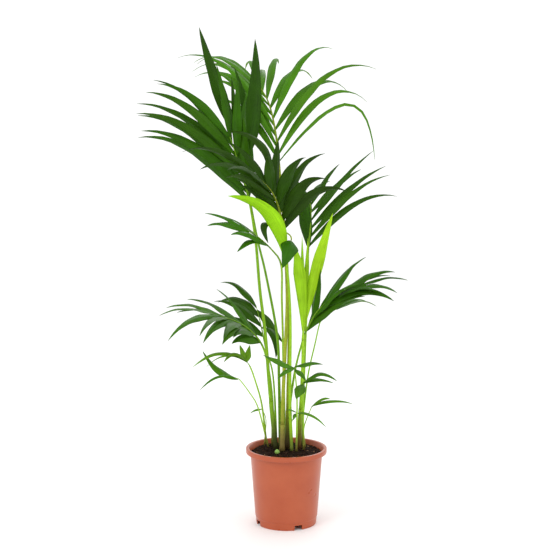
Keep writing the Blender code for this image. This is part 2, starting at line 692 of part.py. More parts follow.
def fused(name, base, others, collection, mat):
    """One Boolean union of a base with everything in a collection."""
    joined = base.modifiers.new("fuse", "BOOLEAN")
    joined.operation = "UNION"
    joined.operand_type = "COLLECTION"
    joined.collection = others
    for solver in ("MANIFOLD", "EXACT"):
        joined.solver = solver
        mesh = evaluated_mesh(base)
        if triangulated(mesh):
            break
    done = link(name, mesh, collection, mat)
    bpy.data.objects.remove(base, do_unlink=True)
    for thing in list(others.objects):
        mesh = thing.data
        bpy.data.objects.remove(thing, do_unlink=True)
        bpy.data.meshes.remove(mesh)
    bpy.data.collections.remove(others)
    return done


def largest_shell(thing):
    """Drops the scraps that a union left loose."""
    bm = bmesh.new()
    bm.from_mesh(thing.data)
    left, shells = set(bm.verts), []
    while left:
        shell, edge = set(), [left.pop()]
        while edge:
            vert = edge.pop()
            shell.add(vert)
            for near in (e.other_vert(vert) for e in vert.link_edges):
                if near in left:
                    left.discard(near)
                    edge.append(near)
        shells.append(shell)
    keep = max(shells, key=len)
    bmesh.ops.delete(bm, geom=[v for v in bm.verts if v not in keep], context="VERTS")
    bm.to_mesh(thing.data)
    bm.free()


def turned_solid(name, profile, collection, mat):
    """Solid of revolution from a profile in the XZ plane, by a Screw modifier."""
    bm = bmesh.new()
    verts = [bm.verts.new((r, 0.0, z)) for r, z in profile]
    for a, b in zip(verts, verts[1:]):
        bm.edges.new((a, b))
    mesh = bpy.data.meshes.new(name)
    bm.to_mesh(mesh)
    bm.free()
    thing = link(name, mesh, collection)
    screw = thing.modifiers.new("turn", "SCREW")
    screw.steps = TURN_STEPS
    screw.render_steps = TURN_STEPS
    screw.use_merge_vertices = True
    screw.merge_threshold = 0.0001
    return baked(thing, name, collection, mat)


def pot_radius(z):
    """Outer radius of the pot's wall at a height."""
    return FOOT_RADIUS + (NECK_RADIUS - FOOT_RADIUS) * z / POT_HEIGHT


def make_pot(collection, cutters, mat):
    """Tapered shell with a rolled lip, a foot ring round a sunk floor centre and drain notches."""
    lip_bottom = POT_HEIGHT - LIP_HEIGHT
    floor = FLOOR_UNDERSIDE + FLOOR_THICKNESS
    profile = [
        (0.0, FLOOR_THICKNESS),
        (CENTRE_RADIUS - WALL, FLOOR_THICKNESS),
        (CENTRE_RADIUS, floor),
        (pot_radius(floor) - WALL, floor),
        (pot_radius(lip_bottom) - WALL, lip_bottom),
        (LIP_RADIUS - LIP_WIDTH, POT_HEIGHT - LIP_ROUND),
        (LIP_RADIUS - LIP_WIDTH + LIP_ROUND, POT_HEIGHT),
        (LIP_RADIUS - LIP_ROUND, POT_HEIGHT),
        (LIP_RADIUS, POT_HEIGHT - LIP_ROUND),
        (LIP_RADIUS, lip_bottom + LIP_ROUND),
        (LIP_RADIUS - LIP_TUCK, lip_bottom),
        (pot_radius(lip_bottom), lip_bottom - LIP_SHADOW),
        (pot_radius(FOOT_STEP_HEIGHT), FOOT_STEP_HEIGHT),
        (pot_radius(FOOT_STEP_HEIGHT) - FOOT_STEP, FOOT_STEP_HEIGHT - FOOT_STEP_FALL),
        (FOOT_RADIUS - FOOT_STEP, 0.0),
        (FOOT_RADIUS - FOOT_STEP - WALL, 0.0),
        (FOOT_RADIUS - FOOT_STEP - WALL, FLOOR_UNDERSIDE),
        (CENTRE_RADIUS + WALL, FLOOR_UNDERSIDE),
        (CENTRE_RADIUS, 0.0),
        (0.0, 0.0),
    ]
    pot = turned_solid("pot_shell", profile, collection, mat)
    for k in range(NOTCH_COUNT):
        angle = -math.pi / 2 + NOTCH_TURN + k * 2 * math.pi / NOTCH_COUNT
        bpy.ops.mesh.primitive_cube_add(size=1.0)
        cutter = bpy.context.object
        for home in list(cutter.users_collection):
            home.objects.unlink(cutter)
        cutters.objects.link(cutter)
        cutter.display_type = "WIRE"
        cutter.hide_render = True
        cutter.scale = (NOTCH_DEPTH, NOTCH_WIDTH, 2 * NOTCH_HEIGHT)
        cutter.location = (FOOT_RADIUS * math.cos(angle), FOOT_RADIUS * math.sin(angle), 0.0)
        cutter.rotation_euler = (0.0, 0.0, angle)
    cut = pot.modifiers.new("drain notches", "BOOLEAN")
    cut.operation = "DIFFERENCE"
    cut.operand_type = "COLLECTION"
    cut.collection = cutters
    cut.solver = "EXACT"
    pot = baked(pot, "pot", collection, mat)
    pot.data.shade_smooth()
    pot.data.set_sharp_from_angle(angle=SHARP_ANGLE)
    return pot


def make_soil(collection, mat):
    """Plug of soil that fills the pot, 0.3 mm clear of its wall and floor."""
    floor = FLOOR_UNDERSIDE + FLOOR_THICKNESS + GAP
    edge = SOIL_TOP - SOIL_EDGE_DROP
    profile = [
        (0.0, SOIL_TOP),
        (SOIL_FLAT_RADIUS, SOIL_TOP),
        (pot_radius(edge) - WALL - 2 * GAP, edge),
        (pot_radius(floor) - WALL - 2 * GAP, floor),
        (CENTRE_RADIUS - GAP, floor),
        (CENTRE_RADIUS - WALL - 2 * GAP, FLOOR_THICKNESS + GAP),
        (0.0, FLOOR_THICKNESS + GAP),
    ]
    return turned_solid("soil", profile, collection, mat)


def make_seed(collection, mat):
    """Spent seed that lies on the soil: a ball cut flat underneath."""
    bm = bmesh.new()
    bmesh.ops.create_uvsphere(bm, u_segments=12, v_segments=8, radius=SEED_RADIUS)
    bmesh.ops.translate(bm, verts=bm.verts, vec=(0.0, 0.0, SEED_RADIUS * SEED_RISE))
    ball = bm.verts[:] + bm.edges[:] + bm.faces[:]
    cut = bmesh.ops.bisect_plane(bm, geom=ball, plane_co=(0.0, 0.0, 0.0), plane_no=(0.0, 0.0, 1.0),
                                 clear_inner=True)
    rim = [part for part in cut["geom_cut"] if isinstance(part, bmesh.types.BMEdge)]
    bmesh.ops.contextual_create(bm, geom=rim)
    bmesh.ops.translate(bm, verts=bm.verts, vec=(*SEED_PLACE, GROUND))
    bmesh.ops.recalc_face_normals(bm, faces=bm.faces)
    mesh = bpy.data.meshes.new("seed")
    bm.to_mesh(mesh)
    bm.free()
    return link("seed", mesh, collection, mat)


def make_palm():
    clear_scene()
    home = bpy.data.collections.new("potted_kentia_palm")
    cutters = bpy.data.collections.new("cutters")
    cutters.hide_render = True
    for collection in (home, cutters):
        bpy.context.scene.collection.children.link(collection)

    make_pot(home, cutters, material("terracotta plastic", (0.43, 0.13, 0.055), 0.42))
    make_soil(home, material("potting soil", (0.022, 0.013, 0.010), 0.95))
    make_seed(home, material("green seed", (0.30, 0.45, 0.10), 0.6))

    stalk_green = material("stalk green", (0.26, 0.44, 0.06), 0.5)
    sheath_brown = material("sheath brown", (0.13, 0.11, 0.035), 0.7)
    leaf_green = material("leaf green", (0.035, 0.12, 0.015), 0.45)
    young_green = material("young leaf green", (0.32, 0.58, 0.04), 0.45)

    limbs = grow_limbs()
    leaflets = grow_leaflets(limbs, LEAFLET_STEPS)
    for name, pieces in limbs.items():
        if "stem" in pieces:
            limb("stem_" + name, *pieces["stem"], home, sheath_brown)
        limb("stalk_" + name, *pieces["stalk"], home, stalk_green)
        if "rib" not in pieces:
            continue
        blades = bpy.data.collections.new("blades_" + name)
        bpy.context.scene.collection.children.link(blades)
        for number, profile in enumerate(leaflets[name]):
            leaflet("blade_%d" % number, profile, blades)
        rib = limb("rib_" + name, *pieces["rib"], home, None, resolution=0)
        green = young_green if name.startswith("young") else leaf_green
        largest_shell(fused("frond_" + name, rib, blades, home, green))


make_palm()
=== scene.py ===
"""Looks of the potted kentia palm.

Every frond of the model is replaced by its rib and its leaflets, grown by the same
rule as the solids but with folded, pleated, paper-thin blades. The stalks and the
brown sheaths at their feet become smooth tapering limbs, the pot a finely turned
shell and the soil a rough crumbly surface. Lengths are metres and +Z is up.
"""
import json
import math

import bmesh
import bpy
import numpy as np
from mathutils import Matrix, Vector, noise

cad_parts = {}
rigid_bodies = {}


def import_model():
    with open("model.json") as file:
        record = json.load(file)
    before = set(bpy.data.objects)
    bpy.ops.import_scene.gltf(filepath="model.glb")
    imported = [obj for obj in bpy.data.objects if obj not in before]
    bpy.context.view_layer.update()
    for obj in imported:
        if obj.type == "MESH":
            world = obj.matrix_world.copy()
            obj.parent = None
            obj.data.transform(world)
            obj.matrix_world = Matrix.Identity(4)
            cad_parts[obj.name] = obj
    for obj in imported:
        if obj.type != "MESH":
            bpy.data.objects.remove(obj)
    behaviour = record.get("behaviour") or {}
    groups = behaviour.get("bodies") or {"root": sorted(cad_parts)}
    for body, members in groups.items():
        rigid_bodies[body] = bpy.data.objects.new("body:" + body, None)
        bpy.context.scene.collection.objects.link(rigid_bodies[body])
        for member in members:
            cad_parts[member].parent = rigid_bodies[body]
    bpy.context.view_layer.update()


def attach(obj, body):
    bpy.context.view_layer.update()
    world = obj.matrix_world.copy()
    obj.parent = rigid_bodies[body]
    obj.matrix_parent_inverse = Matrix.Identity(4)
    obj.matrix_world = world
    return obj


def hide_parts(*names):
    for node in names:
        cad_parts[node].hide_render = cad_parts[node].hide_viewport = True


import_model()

# Clearance between solids that touch on the real plant
GAP = 0.0003

# Pot: a 21 cm nursery pot
POT_HEIGHT = 0.200
LIP_RADIUS = 0.105
LIP_HEIGHT = 0.013
LIP_WIDTH = 0.0080
LIP_CREASE = 0.0004
NECK_RADIUS = 0.0945
FOOT_RADIUS = 0.0795
FOOT_STEP = 0.0012
FOOT_STEP_HEIGHT = 0.020
FOOT_STEP_FALL = 0.0015
WALL = 0.0025
CENTRE_RADIUS = 0.048
FLOOR_UNDERSIDE = 0.014
FLOOR_THICKNESS = 0.003
NOTCH_WIDTH = 0.021
NOTCH_HEIGHT = 0.013
NOTCH_DEPTH = 0.030
NOTCH_TURN = math.radians(23)
NOTCH_COUNT = 4
POT_STEPS = 128
POT_ROUND = 0.0022
ROUND_POINTS = 5
ROUND_SHARE = 0.45
POT_WELD = 1e-5
SHARP_ANGLE = math.radians(40)

# Soil: flat round the stems, rough with lumps (how many per metre, layer of noise, rise)
SOIL_TOP = 0.192
SOIL_FLAT_RADIUS = 0.084
SOIL_EDGE_DROP = 0.007
SOIL_SINK = 0.0012
SOIL_WALL_RADIUS = 0.0915
SOIL_LUMPS = ((45, 1.7, 0.0016), (190, 5.2, 0.0016), (520, 9.4, 0.0008))
SOIL_GRID = 110
SOIL_SKIRT = 0.012
CRUMB_COUNT = 520
CRUMB_SEED = 7
CRUMB_SIZE = (0.0008, 0.0026)
CRUMB_STRETCH = (0.5, 1.5)
CRUMB_RISE = 0.3
CRUMB_REACH = 0.97
FULL_TURN = 6.28

# Browns of the crumbs and the share of crumbs that has each
CRUMB_SHADES = {"2a1b14": 0.25, "3b281c": 0.25, "4d3524": 0.2,
                "241812": 0.15, "8c6f52": 0.05, "1c130f": 0.10}

# Spent seed
SEED_RADIUS = 0.0065
SEED_PLACE = (-0.024, -0.034)
SEED_RISE = 0.6
BEAK_START = 0.75
BEAK_RISE = 0.02
HUSK_ROUGHNESS = 0.03
HUSK_LUMPS_PER_METRE = 700

# Limbs
GROUND = SOIL_TOP + GAP
FINE = 16
SHEATH_TAPER = 0.86
STALK_IN_SHEATH = 0.88
LIMB_TAPER_POWER = 1.4
FLARE = 1.22
FLARE_HEIGHT = 0.018
FLARE_POWER = 1.5
FLAT_FOOT_REACH = 1.2
RIB_TIP_SHARE = 0.35
RIB_TIP_RADIUS = 0.0009
LIMB_SPACING = 0.012
SHEATH_POINTS = 5
STALK_POINTS = 8
RIB_POINTS = 6
LIMB_SIDES = {"sheaths": 12, "stalks": 10, "ribs": 8}
WELD = 1e-6
BROWN_HEIGHT = 0.09
BROWN_SHEATHED = 1.6
BROWN_BARE = 0.7
RIB_GREENING = 0.45

# Leaflets
ALONG = 16
ACROSS = 8
LEAF_THICKNESS = 0.0005
TIP_WIDTH = 0.0005
ROOT_WIDTH = 0.2
TIP_POWER = 0.75
LEAFLET_PEAK = 0.42
LEVELLING = 2.0
UPRIGHT = 0.05
HEADING_SPREAD = 0.05
LENGTH_SPREAD = 0.04
FOLD = 0.36
PLEAT = 0.00035
PLEATS_EACH_SIDE = 2
PLEAT_FULL_HALF = 0.008
WAVE = 0.0012
WAVE_LENGTH = 0.07
WAVE_FULL_HALF = 0.01
COLOUR_SEED = 1000
SHADE_RANGE = (0.84, 1.14)
WARM_SPREAD = 0.06
FAN = 14.0
BEHIND = 0.0006
RIB_LOOK = 0.12

# Finishes: how strongly they mirror what is round them, and the unevenness of their grain
LEAF_SHEEN = 0.1
STALK_SHEEN = 0.2
SOIL_SHEEN = 0.1
GRAIN_ROUGHNESS = 0.6

# Studio: floor, light and the camera of the front view
FLOOR_WHITE = (0.95, 0.95, 0.95, 1.0)
FLOOR_HALF = 6.0
WORLD_STRENGTH = 1.1
LAMP_TARGET = (0.0, 0.0, 0.7)
LAMPS = (("key", (-1.8, -2.2, 2.6), 1.2, 26.0),
         ("fill", (2.4, -1.6, 1.4), 1.8, 8.0),
         ("back", (0.6, 2.4, 2.2), 1.6, 12.0))
CAMERA_PLACE = (-0.0256, -3.5, 1.146)
CAMERA_PITCH = math.radians(8.1)
SENSOR = 36.0
FOCAL_PX = 1385.0
IMAGE_PX = 553.0

UP = np.array((0.0, 0.0, 1.0))
FRONT = (-0.05, -0.90, 0.45)


def row(count, sweep, reach, droop, width=(0.018, 0.022, 0.016), on=(0.05, 0.97), lift=(0, 0)):
    """One side of a frond; each range runs from the base of the rib to its tip.

    sweep is the angle in degrees between a leaflet and the rib, reach its length,
    droop how strongly it bends down, on the stretch of the rib that carries it and
    lift the angle in degrees that it stands out of the plane of the frond.
    """
    return dict(count=count, sweep=sweep, reach=reach, droop=droop, width=width, on=on, lift=lift)


def blade(at, tip, bow, width, peak=0.42):
    """A single blade from the rib to a tip, bowed at its middle and widest at peak."""
    return dict(at=at, tip=tip, bow=bow, width=width, peak=peak)


# Each leaf has a stalk from the soil, a rib, the side that its upper face looks to,
# the radius of the stalk at foot and collar, and its leaflets and blades.
LEAVES = {
    "high_right": dict(
        size=(0.0065, 0.0035), sheath=0.10,
        stalk=[(0.003, 0.020, GROUND), (0.004, 0.025, 0.320), (0.007, 0.030, 0.504),
               (0.001, 0.040, 0.680), (-0.014, 0.050, 0.865)],
        rib=[(-0.019, 0.060, 0.928), (-0.027, 0.080, 1.004),
             (-0.045, 0.130, 1.083), (-0.077, 0.200, 1.139)],
        face=FRONT,
        left=row(9, (24, 24, 8), (0.27, 0.35, 0.35), (2.2, 2.1, 1.8)),
        right=row(8, (36, 38, 28, 14), (0.37, 0.35, 0.27, 0.20), (3.6, 3.0, 3.0, 3.0),
                  (0.020, 0.024, 0.024, 0.018), on=(0.10, 0.97)),
        blades=[blade(0.03, (0.224, 0.020, 0.944), (0.05, -0.01, 0.145), 0.012)],
    ),
    "high_left": dict(
        size=(0.0065, 0.0035), sheath=0.13,
        stalk=[(-0.027, 0.010, GROUND), (-0.043, 0.000, 0.352), (-0.054, -0.010, 0.498),
               (-0.068, -0.010, 0.615), (-0.078, -0.005, 0.735)],
        rib=[(-0.092, 0.000, 0.831), (-0.110, -0.005, 0.900),
             (-0.127, -0.015, 0.958), (-0.142, -0.030, 1.004)],
        face=FRONT,
        left=row(8, (30, 27, 17), (0.33, 0.32, 0.26), (1.9, 1.6, 1.7), (0.030, 0.026, 0.022)),
        right=row(5, (15, 20, 12), (0.16, 0.20, 0.20), (1.0, 1.0), (0.030, 0.030, 0.020),
                  on=(0.1, 0.9)),
    ),
    "high_middle": dict(
        size=(0.0045, 0.0028),
        stalk=[(-0.016, 0.035, GROUND), (-0.019, 0.050, 0.367), (-0.024, 0.060, 0.485),
               (-0.053, 0.070, 0.642), (-0.074, 0.070, 0.731)],
        rib=[(-0.092, 0.070, 0.825), (-0.104, 0.070, 0.889),
             (-0.119, 0.060, 0.954), (-0.129, 0.050, 1.005)],
        face=(0.2, -0.9, 0.3),
        blades=[blade(0.97, (-0.217, -0.020, 1.274), (-0.010, 0.0, 0.020), 0.036),
                blade(0.60, (-0.080, 0.070, 1.248), (0.014, 0.0, -0.010), 0.050, peak=0.3),
                blade(0.85, (-0.140, 0.060, 1.152), (0.0, 0.0, 0.0), 0.018),
                blade(0.50, (-0.135, 0.110, 1.178), (0.020, 0.0, 0.0), 0.028)],
    ),
    "middle": dict(
        size=(0.0070, 0.0038), sheath=0.07,
        stalk=[(-0.011, -0.005, GROUND), (-0.009, -0.010, 0.328),
               (-0.001, -0.020, 0.513), (0.001, -0.030, 0.618)],
        rib=[(-0.007, -0.040, 0.759), (-0.019, -0.050, 0.823),
             (-0.037, -0.080, 0.870), (-0.066, -0.120, 0.905)],
        face=(0.1, -0.7, 0.7),
        left=row(6, (26, 20, 3), (0.15, 0.25, 0.31), (1.4, 1.5, 1.5), (0.026, 0.022, 0.018),
                 on=(0.20, 0.97)),
        right=row(6, (40, 35, 24), (0.20, 0.19, 0.13), (3.2, 2.5, 2.2), (0.032, 0.036, 0.032),
                  on=(0.08, 0.66), lift=(25, 30)),
        blades=[blade(0.70, (-0.138, -0.060, 1.020), (0.032, 0.0, 0.032), 0.024, peak=0.6),
                blade(0.85, (-0.140, -0.080, 0.993), (0.010, 0.0, 0.006), 0.022),
                blade(0.10, (-0.046, -0.120, 0.748), (-0.027, 0.0, 0.030), 0.024)],
    ),
    "middle_right": dict(
        size=(0.0055, 0.0030), sheath=0.08,
        stalk=[(0.042, 0.055, GROUND), (0.044, 0.065, 0.310),
               (0.052, 0.070, 0.523), (0.056, 0.060, 0.643)],
        rib=[(0.056, 0.050, 0.710), (0.061, 0.060, 0.756),
             (0.064, 0.080, 0.803), (0.060, 0.120, 0.838)],
        face=FRONT,
        left=row(4, (16, 22, 26), (0.17, 0.155, 0.12), (1.0, 1.0, 1.2), (0.034, 0.034, 0.024)),
        right=row(7, (33, 36, 34, 28), (0.29, 0.27, 0.22, 0.14), (2.2, 1.0, 0.8, 1.2), (0.018, 0.018)),
    ),
    "young_left": dict(
        size=(0.0045, 0.0030),
        stalk=[(0.014, -0.006, GROUND), (0.009, -0.014, 0.329),
               (0.010, -0.034, 0.515), (0.006, -0.048, 0.620)],
        rib=[(-0.001, -0.062, 0.691), (-0.006, -0.070, 0.712)],
        face=(-0.3, -0.9, 0.3),
        blades=[blade(0.9, (-0.143, -0.160, 0.867), (0.030, 0.0, 0.032), 0.040)],
    ),
    "young_right": dict(
        size=(0.0065, 0.0040), sheath=0.11,
        stalk=[(0.032, 0.020, GROUND), (0.038, 0.000, 0.325), (0.042, -0.010, 0.433)],
        rib=[(0.042, -0.020, 0.487), (0.043, -0.022, 0.526)],
        face=(0.0, -1.0, 0.2),
        blades=[blade(0.6, (0.021, -0.050, 0.730), (0.006, 0.0, 0.0), 0.032, peak=0.7),
                blade(0.9, (0.039, -0.020, 0.754), (0.0, 0.0, 0.0), 0.014),
                blade(0.9, (0.054, -0.020, 0.749), (0.0, 0.0, 0.0), 0.014),
                blade(0.8, (0.116, -0.030, 0.813), (-0.005, 0.0, 0.0), 0.030, peak=0.6)],
    ),
    "small_left": dict(
        size=(0.0040, 0.0025),
        stalk=[(-0.006, 0.045, GROUND), (-0.006, 0.045, 0.315),
               (-0.009, 0.010, 0.481), (-0.012, -0.030, 0.592)],
        rib=[(-0.014, -0.060, 0.686), (-0.037, -0.080, 0.726),
             (-0.071, -0.110, 0.762), (-0.095, -0.130, 0.779)],
        face=(0.2, -0.4, 0.9),
        left=row(2, (18, 8), (0.14, 0.14), (1.3, 1.2), (0.030, 0.028), on=(0.6, 0.98)),
        right=row(2, (22, 12), (0.14, 0.13), (1.3, 1.2), (0.030, 0.028), on=(0.5, 0.99)),
        blades=[blade(0.4, (-0.121, -0.170, 0.732), (0.0, 0.0, 0.025), 0.028)],
    ),
    "hanging": dict(
        size=(0.0022, 0.0018),
        stalk=[(-0.0070, -0.0452, 0.767), (0.002, -0.068, 0.766), (0.010, -0.092, 0.761)],
        rib=[(0.011, -0.106, 0.755), (0.008, -0.116, 0.749)],
        face=(0.1, -1.0, 0.2),
        blades=[blade(0.4, (-0.011, -0.165, 0.692), (0.006, -0.012, 0.012), 0.048, peak=0.3)],
    ),
    "low_right": dict(
        size=(0.0040, 0.0026),
        stalk=[(0.000, 0.056, GROUND), (0.010, 0.060, 0.298),
               (0.023, 0.040, 0.396), (0.040, 0.010, 0.473)],
        rib=[(0.047, -0.010, 0.501), (0.077, -0.040, 0.563),
             (0.116, -0.080, 0.605), (0.160, -0.130, 0.635)],
        face=(-0.3, -0.6, 0.8),
        left=row(7, (34, 20, 5), (0.11, 0.17, 0.18), (0.4, 1.5, 1.3), (0.038, 0.030, 0.022)),
        right=row(6, (14, 13, 8), (0.24, 0.22, 0.19), (1.4, 1.3, 1.2), (0.024, 0.026, 0.018)),
    ),
    "low_far_right": dict(
        size=(0.0028, 0.0018),
        stalk=[(0.036, 0.040, GROUND), (0.044, 0.036, 0.277),
               (0.057, 0.045, 0.382), (0.075, 0.075, 0.456)],
        rib=[(0.092, 0.120, 0.514), (0.111, 0.130, 0.529), (0.136, 0.150, 0.539)],
        face=(-0.3, -0.4, 0.9),
        left=row(2, (15, 8), (0.15, 0.13), (2.0, 1.8)),
        right=row(2, (8, 5), (0.16, 0.14), (2.0, 2.0)),
    ),
    "low_left": dict(
        size=(0.0045, 0.0028),
        stalk=[(-0.035, 0.045, GROUND), (-0.037, 0.040, 0.316), (-0.048, 0.030, 0.411)],
        rib=[(-0.063, 0.020, 0.466), (-0.091, -0.010, 0.508),
             (-0.125, -0.060, 0.541), (-0.165, -0.130, 0.568)],
        face=(0.2, -0.5, 0.8),
        left=row(7, (28, 22, 8), (0.13, 0.20, 0.27), (1.6, 1.4, 1.3), (0.030, 0.028, 0.018)),
        right=row(7, (30, 20, 8), (0.15, 0.19, 0.23), (1.5, 1.3, 1.2), (0.032, 0.030, 0.018)),
    ),
    "low_back_left": dict(
        size=(0.0035, 0.0022),
        stalk=[(-0.026, 0.066, GROUND), (-0.030, 0.080, 0.307), (-0.037, 0.090, 0.385)],
        rib=[(-0.053, 0.100, 0.437), (-0.067, 0.120, 0.501), (-0.080, 0.150, 0.547)],
        face=(0.1, -0.6, 0.7),
        left=row(4, (40, 33, 20), (0.14, 0.16, 0.14), (1.4, 2.6, 2.6), (0.026, 0.028, 0.022),
                 on=(0.3, 0.97)),
        blades=[blade(0.9, (-0.008, 0.120, 0.452), (-0.004, 0.0, 0.012), 0.026),
                blade(0.5, (-0.027, 0.060, 0.424), (0.015, 0.0, 0.020), 0.026)],
    ),
    "pale_left": dict(
        size=(0.0030, 0.0020),
        stalk=[(-0.052, 0.060, GROUND), (-0.064, 0.040, 0.303), (-0.081, 0.000, 0.378)],
        rib=[(-0.093, -0.020, 0.417), (-0.103, -0.030, 0.434)],
        face=(0.2, -0.5, 0.8),
        blades=[blade(0.5, (-0.158, -0.080, 0.442), (0.0, 0.0, 0.025), 0.020),
                blade(0.8, (-0.235, -0.100, 0.433), (0.0, 0.0, 0.030), 0.016),
                blade(0.9, (-0.119, -0.030, 0.476), (0.0, 0.0, 0.0), 0.020),
                blade(0.9, (-0.207, 0.000, 0.412), (0.0, 0.0, 0.025), 0.012),
                blade(0.9, (-0.094, 0.000, 0.470), (0.0, 0.0, 0.0), 0.018)],
    ),
    "lowest_left": dict(
        size=(0.0025, 0.0014),
        stalk=[(-0.047, 0.030, GROUND), (-0.073, 0.000, 0.304), (-0.094, -0.020, 0.348)],
        rib=[(-0.119, -0.040, 0.387), (-0.129, -0.045, 0.392)],
        face=(0.2, -0.5, 0.8),
        blades=[blade(0.5, (-0.214, -0.020, 0.458), (-0.006, 0.0, -0.012), 0.024),
                blade(0.9, (-0.218, -0.100, 0.374), (0.0, 0.0, 0.020), 0.010)],
    ),
    "small_centre": dict(
        size=(0.0028, 0.0018),
        stalk=[(0.026, -0.012, GROUND), (0.027, -0.030, 0.332)],
        rib=[(0.021, -0.050, 0.415), (0.020, -0.055, 0.424)],
        face=(0.0, -0.5, 0.8),
        blades=[blade(0.5, (-0.059, -0.090, 0.462), (0.0, 0.0, 0.0), 0.026),
                blade(0.9, (0.091, -0.090, 0.438), (0.0, 0.0, 0.006), 0.018),
                blade(0.5, (-0.023, -0.110, 0.405), (0.0, 0.0, 0.006), 0.016),
                blade(0.2, (0.049, -0.090, 0.395), (0.0, 0.0, 0.005), 0.016)],
    ),
    "small_right": dict(
        size=(0.0028, 0.0018),
        stalk=[(0.045, 0.005, GROUND), (0.043, -0.010, 0.301)],
        rib=[(0.042, -0.030, 0.372), (0.043, -0.035, 0.378)],
        face=(0.0, -0.5, 0.8),
        blades=[blade(0.5, (0.127, -0.070, 0.391), (0.0, 0.0, 0.022), 0.020),
                blade(0.9, (0.122, -0.010, 0.372), (0.0, 0.0, 0.010), 0.016),
                blade(0.2, (0.024, -0.090, 0.349), (0.0, 0.0, 0.005), 0.030)],
    ),
    "lowest_right": dict(
        size=(0.0018, 0.0012),
        stalk=[(0.050, 0.028, GROUND), (0.046, 0.020, 0.246)],
        rib=[(0.064, 0.000, 0.304), (0.066, 0.000, 0.309)],
        face=(0.0, -0.5, 0.8),
        blades=[blade(0.5, (0.112, -0.030, 0.335), (0.0, 0.0, 0.010), 0.016),
                blade(0.9, (0.172, 0.000, 0.315), (0.0, 0.0, 0.011), 0.012)],
    ),
    "tiny_middle": dict(
        size=(0.0018, 0.0012),
        stalk=[(0.017, 0.022, GROUND), (0.012, 0.015, 0.255)],
        rib=[(0.025, 0.000, 0.288), (0.028, -0.003, 0.292)],
        face=(0.0, -0.5, 0.8),
        blades=[blade(0.5, (0.101, -0.050, 0.266), (0.0, -0.020, 0.018), 0.010),
                blade(0.9, (0.001, -0.040, 0.309), (0.0, 0.0, 0.004), 0.012),
                blade(0.5, (0.017, -0.040, 0.282), (0.0, 0.0, 0.004), 0.012)],
    ),
    "tiny_left": dict(
        size=(0.0016, 0.0010),
        stalk=[(-0.058, 0.045, GROUND), (-0.053, 0.040, 0.262)],
        rib=[(-0.063, 0.020, 0.294), (-0.067, 0.017, 0.297)],
        face=(0.0, -0.5, 0.8),
        blades=[blade(0.5, (-0.094, 0.000, 0.290), (0.0, 0.0, 0.004), 0.008)],
    ),
    "spear": dict(
        size=(0.0035, 0.0008),
        stalk=[(0.012, 0.042, GROUND), (0.010, 0.046, 0.312), (0.008, 0.050, 0.472)],
        rib=[(0.009, 0.050, 0.596)],
        face=FRONT,
    ),
}


# Colour of each leaf: upper side, underside, stalk and the sheath or foot below it
TONES = {
    "high_right": ("43760a", "658f28", "899818", "4a3a20"),
    "high_left": ("325e04", "608a2a", "7baa18", "3a3a1c"),
    "high_middle": ("294e04", "507a18", "6b9d14", "54602a"),
    "middle": ("274604", "5c7f28", "9ba82a", "7a6a3a"),
    "middle_right": ("2e5604", "608a2c", "88b620", "5c5a2c"),
    # Young leaves: their own paler green, made brighter on both sides by painted light shining through the
    # thin blades
    "young_left": ("89be12", "98c428", "92c220", "6f7a34"),
    "young_right": ("94c41e", "a0cc38", "98c626", "6e4c2a"),
    "small_left": ("376c0c", "628c2a", "92bb28", "6a6230"),
    "hanging": ("2c5c06", "558a22", "96a82c", "8a9a40"),
    "low_right": ("2f5a06", "628a2e", "85b622", "5d5a2a"),
    "low_far_right": ("38660c", "628a2e", "8bbc28", "6a6230"),
    "low_left": ("3b680c", "688f34", "88b924", "5d5a2a"),
    "low_back_left": ("2b5004", "587f28", "83b222", "5d5a2a"),
    "pale_left": ("628f1e", "7ea538", "9bc934", "7a7034"),
    "lowest_left": ("447612", "709a38", "9bc934", "7a7034"),
    "small_centre": ("447614", "6e9638", "99c832", "7a7034"),
    "small_right": ("427212", "6e9638", "99c832", "7a7034"),
    "lowest_right": ("54861c", "789f3c", "9fcc38", "7f7a3a"),
    "tiny_middle": ("578820", "789f3c", "9fcc38", "7f7a3a"),
    "tiny_left": ("578820", "789f3c", "9fcc38", "7f7a3a"),
    "spear": ("6d5a34", "6d5a34", "7b6a3a", "5a4428"),
}


def linear(hex_colour):
    """Linear colour of an sRGB hex value."""
    parts = [int(hex_colour[k:k + 2], 16) / 255 for k in (0, 2, 4)]
    return tuple(c / 12.92 if c <= 0.04045 else ((c + 0.055) / 1.055) ** 2.4 for c in parts)


# Growth rule

def unit(v):
    """The direction of a vector, one metre long."""
    return v / np.linalg.norm(v)


def ramp(values, t):
    """Value at share t of a range named from base to tip."""
    return float(np.interp(t, np.linspace(0, 1, len(values)), values))


def course(knots):
    """Smooth curve through the knots: fine points and the distance run to each."""
    p = np.array(knots, float)
    p = np.vstack((2 * p[0] - p[1], p, 2 * p[-1] - p[-2]))
    fine = []
    for a, b, c, d in zip(p, p[1:], p[2:], p[3:]):
        for t in np.linspace(0, 1, FINE, endpoint=False):
            bend = (2 * a - 5 * b + 4 * c - d) * t**2 + (3 * b - a - 3 * c + d) * t**3
            fine.append(0.5 * (2 * b + (c - a) * t + bend))
    fine = np.array(fine + [p[-2]])
    run = np.concatenate(([0.0], np.cumsum(np.linalg.norm(np.diff(fine, axis=0), axis=1))))
    return fine, run


def stretch(curve, start, end, count):
    """Evenly spaced points on a curve between two distances along it."""
    fine, run = curve
    want = np.linspace(start, end, count)
    return np.column_stack([np.interp(want, run, fine[:, k]) for k in range(3)])


